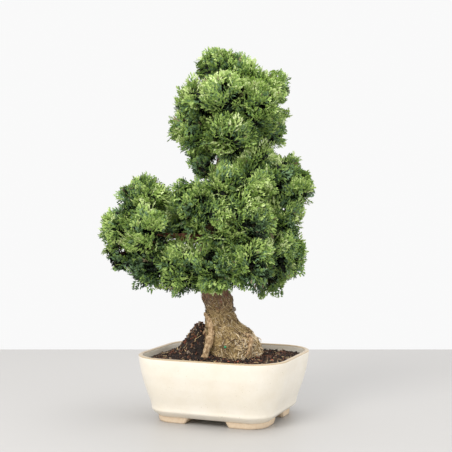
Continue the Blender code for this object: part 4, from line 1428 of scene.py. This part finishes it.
def make_limbs():
    """Every bough with its bark, grown on to the heart of its mass, and the routes that stems grow from."""
    limbs = Limbs()
    heights = np.linspace(TRUNK[0][0], TRUNK[-1][0], TRUNK_STATIONS)
    stations = [trunk_station(height) for height in heights]
    limbs.add([middle for middle, _ in stations], [radius for _, radius in stations])
    routes = {}
    groups = {}
    last = BOUGH_RINGS - BOUGH_TIP_RING + 1
    for number, (name, (mass, carrier, place)) in enumerate(BOUGHS.items()):
        *heart, mass_radius = MASSES[mass]
        heart = np.array(heart)
        if carrier == "trunk":
            middle, thick = trunk_station(place)
        else:
            route, radii = routes[carrier]
            at = place * (BOUGH_TIP_RING - 1)
            k = int(at)
            middle = route[k] + (route[k + 1] - route[k]) * (at - k)
            thick = float(np.interp(at, range(len(radii)), radii))
        length = np.linalg.norm(heart - middle)
        tip = heart + unit(middle - heart) * mass_radius * BOUGH_ENTRY
        bow = (middle + tip) / 2 + np.array((0, 0, -BOUGH_BOW * length))
        radius = min(BOUGH_THICKNESS[0] + BOUGH_THICKNESS[1] * length, BOUGH_SHARE * thick)
        path = bezier((middle, bow, tip), BOUGH_TIP_RING)
        onward = bezier((tip, tip * 0.55 + heart * 0.45 + (0, 0, 0.001), heart), last)
        path = np.vstack((path, onward[1:]))
        thin = radius * BOUGH_TAPER
        radii = np.linspace(radius, thin, BOUGH_TIP_RING)
        radii = np.append(radii, np.linspace(thin, MAIN_TWIG_RADII[0], last)[1:])
        wander = np.repeat(raised(path, BOUGH_WANDER, number)[:, None], 3, axis=1)
        wander[[0, -1]] = 0.0
        path = path + wander
        points, faces = tube(path, radii, BOUGH_SIDES)
        out = points - np.vstack((np.repeat(path, BOUGH_SIDES, axis=0), path[[0, -1]]))
        ridges, lumps = raised(points, BOUGH_RIDGES, 30 + number), raised(points, BOUGH_LUMPS, 60 + number)
        heap, names = groups.setdefault(name.split("_")[0], (Heap(), []))
        heap.add((points + out * (ridges + lumps)[:, None], faces))
        names.append(f"bough_{name}")
        routes[name] = (path, radii)
        limbs.add(path, radii)
    young = mottled(*YOUNG_BARK)
    for group, (heap, names) in groups.items():
        heap.make(f"boughs_{group}", [young], "young_bark", names)
    return limbs, routes


# Foliage


class Spray:
    """The pattern of a spray of unit length, flat in x and y: a bent axis with curved fingers beside it."""

    def __init__(self, rng, fingers, stout):
        rows = []
        bend = rng.uniform(-AXIS_BEND, AXIS_BEND)

        def axis(x):
            return np.array((x, bend * x * x, 0.0))

        # Each row is a blade: its foot and tip, its width, whether it is lighter, and its finger's number
        for low, high in AXIS_BLADES:
            rows.append((axis(low), axis(high), 1.0, int(low > 0.5), 0))
        for k in range(fingers):
            x = FINGER_FIRST + FINGER_SPAN * k / (fingers - 1) + rng.uniform(-FINGER_SHIFT, FINGER_SHIFT)
            side = 1 if k % 2 else -1
            length = FINGER_LENGTH * (1 - x) ** FINGER_SHORTENING * rng.uniform(*FINGER_UNEVEN)
            angle = FINGER_ANGLE - FINGER_CLOSING * x + rng.normal(0, FINGER_ANGLE_SPREAD)
            curl = rng.uniform(*FINGER_CURLS)

            def way(turn, rise):
                return np.array((math.cos(turn), side * math.sin(turn), rng.normal(0, rise)))

            foot = axis(x)
            first, second = way(angle, 0.15), way(angle - curl, 0.25)
            knee = foot + first * length * 0.5
            rows.append((foot, foot + first * length * 0.58, 0.95, 0, k + 1))
            rows.append((knee, knee + second * length * 0.52, 1.0, 1, k + 1))
            nub = way(angle + NUB_ANGLE, 0.2) * length * rng.uniform(*NUB_LENGTHS)
            rows.append((knee, knee + nub, 0.9, 1, k + 1))
        self.feet, self.tips = (np.array([row[k] for row in rows]) for k in (0, 1))
        self.widths = np.array([row[2] for row in rows]) * stout
        self.outer, self.fingers = (np.array([row[k] for row in rows]) for k in (3, 4))
        ways = self.tips - self.feet
        asides = np.stack((-ways[:, 1], ways[:, 0], np.zeros(len(rows))), axis=1)
        self.asides = asides / np.linalg.norm(asides, axis=1)[:, None]

    def corners(self, length):
        """The four corners of each blade, as shares of the spray's length, at which its width is real."""
        half = (self.widths * BLADE_HALF_WIDTH / length)[:, None]
        waist = self.feet + (self.tips - self.feet) * WAIST + (0, 0, 1) * half * BLADE_LIFT
        side = self.asides * half
        return np.stack((self.feet, self.tips, waist + side, waist - side), axis=1)


def ball_ways(count, rng):
    """Directions spread evenly all round, turned at random."""
    k = np.arange(count) + 0.5
    slope = np.arccos(1 - 2 * k / count)
    round_ = math.pi * (1 + 5**0.5) * k
    ways = np.stack((np.sin(slope) * np.cos(round_), np.sin(slope) * np.sin(round_), np.cos(slope)), axis=1)
    turn, _ = np.linalg.qr(rng.normal(size=(3, 3)))
    return ways @ (turn * np.linalg.det(turn)).T


def stem_path(name, routes):
    """The way into the heart of a mass, and whether it is the mass's own stem and not a bough's end."""
    *heart, _ = MASSES[name]
    heart = np.array(heart)
    for bough, (mass, _, _) in BOUGHS.items():
        if mass == name:
            path, _ = routes[bough]
            return path[-5:], False
    height = float(np.clip(heart[2] - STEM_DROP, TRUNK[5][0], TRUNK[-1][0]))
    middle, _ = trunk_station(height)
    bow = (middle + heart) / 2 - (0, 0, 0.002)
    return bezier((middle, bow, heart), STEM_RINGS), True


def place_spray(rng, space, near, root, way, lead, lean, lengths, overrun):
    """A spray's axes and length: it leans off the way out from the heart and shortens until it fits."""
    tangent = rng.normal(0, SPRAY_SPREAD, 3) + lead
    tangent = unit(tangent - way * (tangent @ way))
    lean = lean + rng.normal(0, SPRAY_LEAN_SPREAD)
    along = unit(way * math.cos(lean) + tangent * math.sin(lean))
    aside = unit(np.cross(way, along))
    roll = rng.normal(0, SPRAY_ROLL)
    over = np.cross(along, aside)
    aside = aside * math.cos(roll) + over * math.sin(roll)
    over = np.cross(along, aside)
    if over @ way < 0:
        aside, over = -aside, -over
    cup = rng.uniform(*SPRAY_CUP)
    length = rng.uniform(*lengths)
    drop = -cup * (SPRAY_RIM**2).sum(axis=1)
    spread = SPRAY_RIM[:, :1] * along + SPRAY_RIM[:, 1:] * aside + drop[:, None] * over
    while length > SPRAY_LEAST:
        samples = root + length * spread
        if space.holds(samples, overrun) and near.clearance(samples) > LIMB_CLEARANCE:
            return along, aside, over, cup, length
        length *= SPRAY_SHRINK
    return None


def in_opening(root, placing):
    """Whether a spray would close a line of sight that the crown keeps open, or one on to its bare wood."""
    along, aside, length = placing[0], placing[1], placing[-1]
    for share, sideways in SPRAY_MARKS:
        across, deep, high = root + (along * share + aside * sideways) * length - SEEN_FROM
        far = -SEEN_FROM[1] / deep
        spot = np.array((SEEN_FROM[0] + across * far, SEEN_FROM[2] + high * far))
        if any(np.hypot(*(spot - (x, z))) < radius for x, z, radius in OPENINGS):
            return True
        depth = deep + SEEN_FROM[1]
        if any(depth < wood and np.hypot(*(spot - (x, z))) < radius for x, z, radius, wood in WINDOWS):
            return True
    return False


def in_hollow(place):
    """Whether a place lies in one of the crown's hollows, where the painted shade of its middle shows."""
    return any(np.linalg.norm(place - row[:3]) < row[3] for row in HOLLOWS)


def ragged_overrun(rng, root):
    """How far past the crown's skin a spray may reach, or how far within it it ends where negative."""
    return rng.uniform(*CROWN_OVERRUN) + RAGGED_DEPTH * noise.noise(Vector(root / RAGGED_SIZE))


def add_spray(rng, pattern, root, placing, tones, sprays):
    """Adds a spray to the heap, of either hand by chance."""
    along, aside, over, cup, length = placing
    flip = rng.choice((-1, 1))
    local = pattern.corners(length) * (1, flip, 1)
    fall = -cup * (local[..., :2] ** 2).sum(axis=-1)
    points = root + length * (
        local[..., :1] * along + local[..., 1:2] * aside + (local[..., 2:] + fall[..., None]) * over
    )
    faces = BLADE_FACES if flip > 0 else BLADE_FACES[:, ::-1]
    all_faces = (np.arange(len(points)) * 4)[:, None, None] + faces[None]
    sprays.add((points.reshape(-1, 3), all_faces.reshape(-1, 3)), np.repeat(tones, 4))


def grow_mains(rng, space, stem, twigs):
    """The main twigs of a mass, and the way that each runs out from the heart."""
    mains, ways_out = [], []
    for way in ball_ways(MAIN_TWIGS, rng):
        room = space.plane_reach(way) - MAIN_TWIG_CLEAR
        reach = min(rng.uniform(*MAIN_TWIG_SHARE) * space.radius, room)
        if reach < MAIN_TWIG_LEAST * space.radius:
            continue
        start = stem[-1] + (stem[-2] - stem[-1]) * rng.uniform(0, 1)
        tip = space.heart + way * reach
        bow = (start + tip) / 2 + rng.normal(0, MAIN_TWIG_BEND, 3) + (0, 0, -0.001)
        path = bezier((start, bow, tip), MAIN_TWIG_RINGS)
        twigs.add(tube(path, np.linspace(*MAIN_TWIG_RADII, MAIN_TWIG_RINGS), 4))
        mains.append(path)
        ways_out.append(way)
    if not mains:
        mains.append(stem)
        ways_out.append(unit(stem[-1] - stem[0]))
    return mains, np.array(ways_out)


def add_shade(rng, space, near, coarse, sprays):
    """The coarse sprays of painted shade, dark green and near black, in the middle of a mass."""
    for way in ball_ways(round(SHADE_SPRAYS * space.area), rng):
        reach = min(rng.uniform(*SHADE_SHARE) * space.radius, space.plane_reach(way) - 0.001)
        root = space.heart + way * max(reach, 0.0)
        lead = rng.normal(0, 1, 3)
        placing = place_spray(rng, space, near, root, way, lead, SHADE_LEAN, SHADE_LENGTH, CROWN_OVERRUN[0])
        if placing and not in_opening(root, placing):
            pattern = coarse[rng.integers(len(coarse))]
            tones = rng.choice(len(SHADE_TONES), len(pattern.outer), p=SHADE_TONES)
            add_spray(rng, pattern, root, placing, tones, sprays)


def extra_places(rng, name, space):
    """The sprays that hang and stand proud: way out, root, lead, and the span of what they may reach over."""
    extra = []
    for _ in range(HANGING.get(name, 0)):
        way = unit(np.append(rng.normal(0, HANGING_SPREAD, 2), -1.0))
        root = space.heart + way * min(rng.uniform(*HANGING_SHARE) * space.radius, space.plane_reach(way))
        extra.append((way, root, np.append(rng.normal(0, HANGING_LEAD, 2), -1.0), HANGING_OVERRUN))
    for end in (end for mass, end in PROUD_TUFTS if mass == name):
        way = unit(end - space.heart)
        for _ in range(PROUD_SPRAYS):
            root = end - way * rng.uniform(*PROUD_DEPTHS) + rng.normal(0, PROUD_SPREAD, 3)
            extra.append((way, root, rng.normal(0, 1, 3), PROUD_OVERRUN))
    return extra


def grow_mass(name, number, limbs, routes, patterns, twigs, sprays):
    """One mass: main twigs from its stem, twiglets from those, and a spray at the end of each twiglet."""
    rng = np.random.default_rng((SEED, number))
    space = Space(name)
    heart, radius = space.heart, space.radius
    fine, coarse = patterns
    stem, own = stem_path(name, routes)
    if own:
        twigs.add(tube(stem, np.linspace(STEM_RADIUS, MAIN_TWIG_RADII[0], len(stem)), STEM_SIDES))
    near = limbs.near(heart, radius + LIMB_REACH)
    middle, _ = trunk_station(float(np.clip(heart[2] - LEAD_DROP, TRUNK[0][0], TRUNK[-1][0])))
    lead = LEAD_OUT * unit(heart - middle) + (0, 0, LEAD_UP)
    mains, ways_out = grow_mains(rng, space, stem, twigs)
    ends = np.array([path[-1] for path in mains])
    # Each main twig bears a tuft of sprays that lean the same way and are about as light
    tuft_light = rng.normal(0, TUFT_LIGHT, len(mains))
    tuft_leads = [unit(lead + rng.normal(0, TUFT_SPREAD, 3)) for _ in mains]
    tuft_leans = rng.uniform(*SPRAY_LEAN, len(mains))
    add_shade(rng, space, near, coarse, sprays)
    for way in ball_ways(round(SPRAYS * space.area), rng):
        tuft = int(np.argmax(ways_out @ way))
        way = unit(way + ways_out[tuft] * TUFT_PULL)
        room = space.plane_reach(way)
        if room < CRAMPED_SHARE * radius and rng.random() < CRAMPED_LOSS:
            continue
        root = heart + way * min(rng.uniform(*OUTER_SHARE) * radius, room + 0.001)
        overrun = ragged_overrun(rng, root) - (THIN_DRAW if name in THIN else 0.0)
        leads = tuft_leads[tuft], tuft_leans[tuft]
        placing = place_spray(rng, space, near, root, way, *leads, SPRAY_LENGTH, overrun)
        if not placing:
            continue
        along, length = placing[0], placing[-1]
        if in_opening(root, placing) or in_hollow(root + along * length * HOLLOW_MARK):
            continue
        pattern = fine[rng.integers(len(fine))]
        tones = leaf_tones(rng, root + along * length * TONE_MARK, space, pattern, tuft_light[tuft])
        add_spray(rng, pattern, root, placing, tones, sprays)
        main = mains[int(np.argmin(np.linalg.norm(ends - root, axis=1)))]
        leaves = main[rng.integers(2, 5)] if len(main) > 5 else main[-1]
        end = root + along * length * TWIGLET_END
        path = bezier((leaves, (leaves + root) / 2 - along * 0.001, end), 3)
        twigs.add(tube(path, np.linspace(*TWIGLET_RADII, 3), 3), 1)
    for way, root, lead, overruns in extra_places(rng, name, space):
        overrun = rng.uniform(*overruns)
        placing = place_spray(rng, space, near, root, way, lead, EXTRA_LEAN, SPRAY_LENGTH, overrun)
        if placing and not in_opening(root, placing):
            pattern = fine[rng.integers(len(fine))]
            along, length = placing[0], placing[-1]
            tones = leaf_tones(rng, root + along * length * EXTRA_TONE_MARK, space, pattern, EXTRA_LIGHT)
            add_spray(rng, pattern, root, placing, tones, sprays)
            path = bezier((heart, (heart + root) / 2, root + along * length * TWIGLET_END), 4)
            twigs.add(tube(path, np.linspace(MAIN_TWIG_RADII[1], TWIGLET_RADII[1], 4), 3), 1)


def leaf_tones(rng, place, space, pattern, tuft):
    """The tone of each blade of a spray: darker by its depth in the crown as painted shade, lighter by its
    height in the mass as painted light, and by chance.
    """
    depth = float(crown_depth(place[None])[0])
    up = (place[2] - space.heart[2]) / space.radius
    patch = noise.noise(Vector(place * PATCH_SCALE))
    # Painted shade deeper under the crown's skin, and painted light higher in the mass and over LIGHT_HEIGHT
    light = SKIN_LIGHT - depth / PAINTED_SHADE_DEPTH + LIGHT_UP * up + LIGHT_PATCH * patch + tuft
    light = light + rng.normal(0, LIGHT_CHANCE) + LIGHT_RISE * (place[2] - LIGHT_HEIGHT)
    base = int(np.clip(round(light), 0, BROWN_TONE - 1))
    if base == BLUE_TONE and place[2] > BLUE_TOP and rng.random() < 0.5:
        base += 1
    finger = rng.choice((-1, 0, 1), FINGERS + 1, p=FINGER_SHIFTS)
    tones = np.clip(base - 1 + pattern.outer + finger[pattern.fingers], 0, BROWN_TONE - 1)
    dead = rng.random(FINGERS + 1) < DEAD_SHARE
    return np.where(dead[pattern.fingers], BROWN_TONE, tones)


def make_foliage(limbs, routes):
    """The twigs and the sprays of every mass, joined in the crown's parts."""
    rng = chance("patterns")
    fine = [Spray(rng, FINGERS, 1.0) for _ in range(TEMPLATES)]
    coarse = [Spray(rng, COARSE_FINGERS, COARSE_WIDTH) for _ in range(COARSE_TEMPLATES)]
    shine = {"Specular_IOR_Level": LEAF_SHINE}
    leaves = [principled(name, tone, LEAF_ROUGHNESS, **shine) for name, tone in LEAF_TONES.items()]
    barks = [mottled(*row) for row in TWIG_MATERIALS]
    numbers = {name: number for number, name in enumerate(MASSES)}
    for part, names in CROWN_PARTS.items():
        twigs, sprays = Heap(), Heap()
        for name in names.split():
            grow_mass(name, numbers[name], limbs, routes, (fine, coarse), twigs, sprays)
        nodes = [f"foliage_{name}" for name in names.split()]
        sprays.make(f"sprays_{part}", leaves, "foliage", nodes, smooth=False)
        twigs.make(f"twigs_{part}", barks, "young_bark")


# Stage, light and camera


def in_view(aside, away, height):
    """A place given to the right of the pot's middle and behind it as the camera sees them."""
    c, s = math.cos(CAMERA_TURN), math.sin(CAMERA_TURN)
    return Vector((POT_AT[0] + aside * c - away * s, POT_AT[1] + aside * s + away * c, height))


def area_light(name, place, size, power, colour):
    data = bpy.data.lights.new(name, "AREA")
    data.size = size
    data.energy = power
    data.color = colour
    lamp = bpy.data.objects.new(name, data)
    bpy.context.scene.collection.objects.link(lamp)
    lamp.location = in_view(*place)
    lamp.rotation_euler = (in_view(0.0, 0.0, LAMP_AIM) - lamp.location).to_track_quat("-Z", "Y").to_euler()


def make_stage():
    """The floor, the white sky, the lamps and the camera."""
    scene = bpy.context.scene
    sides = (-FLOOR_REACH, FLOOR_REACH)
    corners = [in_view(x, -FLOOR_REACH, 0.0) for x in sides]
    corners += [in_view(x, FLOOR_BEHIND, 0.0) for x in sides[::-1]]
    mesh = bpy.data.meshes.new("floor")
    mesh.from_pydata(corners, [], [(0, 1, 2, 3)])
    mesh.materials.append(principled("floor", FLOOR_TONE, 0.45))
    floor = bpy.data.objects.new("floor", mesh)
    scene.collection.objects.link(floor)

    world = bpy.data.worlds.new("studio")
    world.use_nodes = True
    backdrop = world.node_tree.nodes["Background"]
    backdrop.inputs["Color"].default_value = (1.0, 1.0, 1.0, 1.0)
    backdrop.inputs["Strength"].default_value = SKY_STRENGTH
    scene.world = world
    for name, row in LAMPS.items():
        area_light(name, *row)

    data = bpy.data.cameras.new("camera")
    data.lens = CAMERA_LENS
    data.sensor_width = CAMERA_SENSOR
    camera = bpy.data.objects.new("camera", data)
    scene.collection.objects.link(camera)
    camera.location = in_view(CAMERA_ASIDE, -CAMERA_AWAY, CAMERA_HEIGHT)
    camera.rotation_euler = (math.pi / 2 + CAMERA_TILT, 0.0, CAMERA_TURN)
    scene.camera = camera
    scene.view_settings.view_transform = "Standard"


make_pot()
make_feet()
make_soil()
make_crumbs()
make_litter()
make_trunk()
make_roots()
make_flakes()
make_rootlets()
make_stub()
make_bead()
make_foliage(*make_limbs())
make_stage()
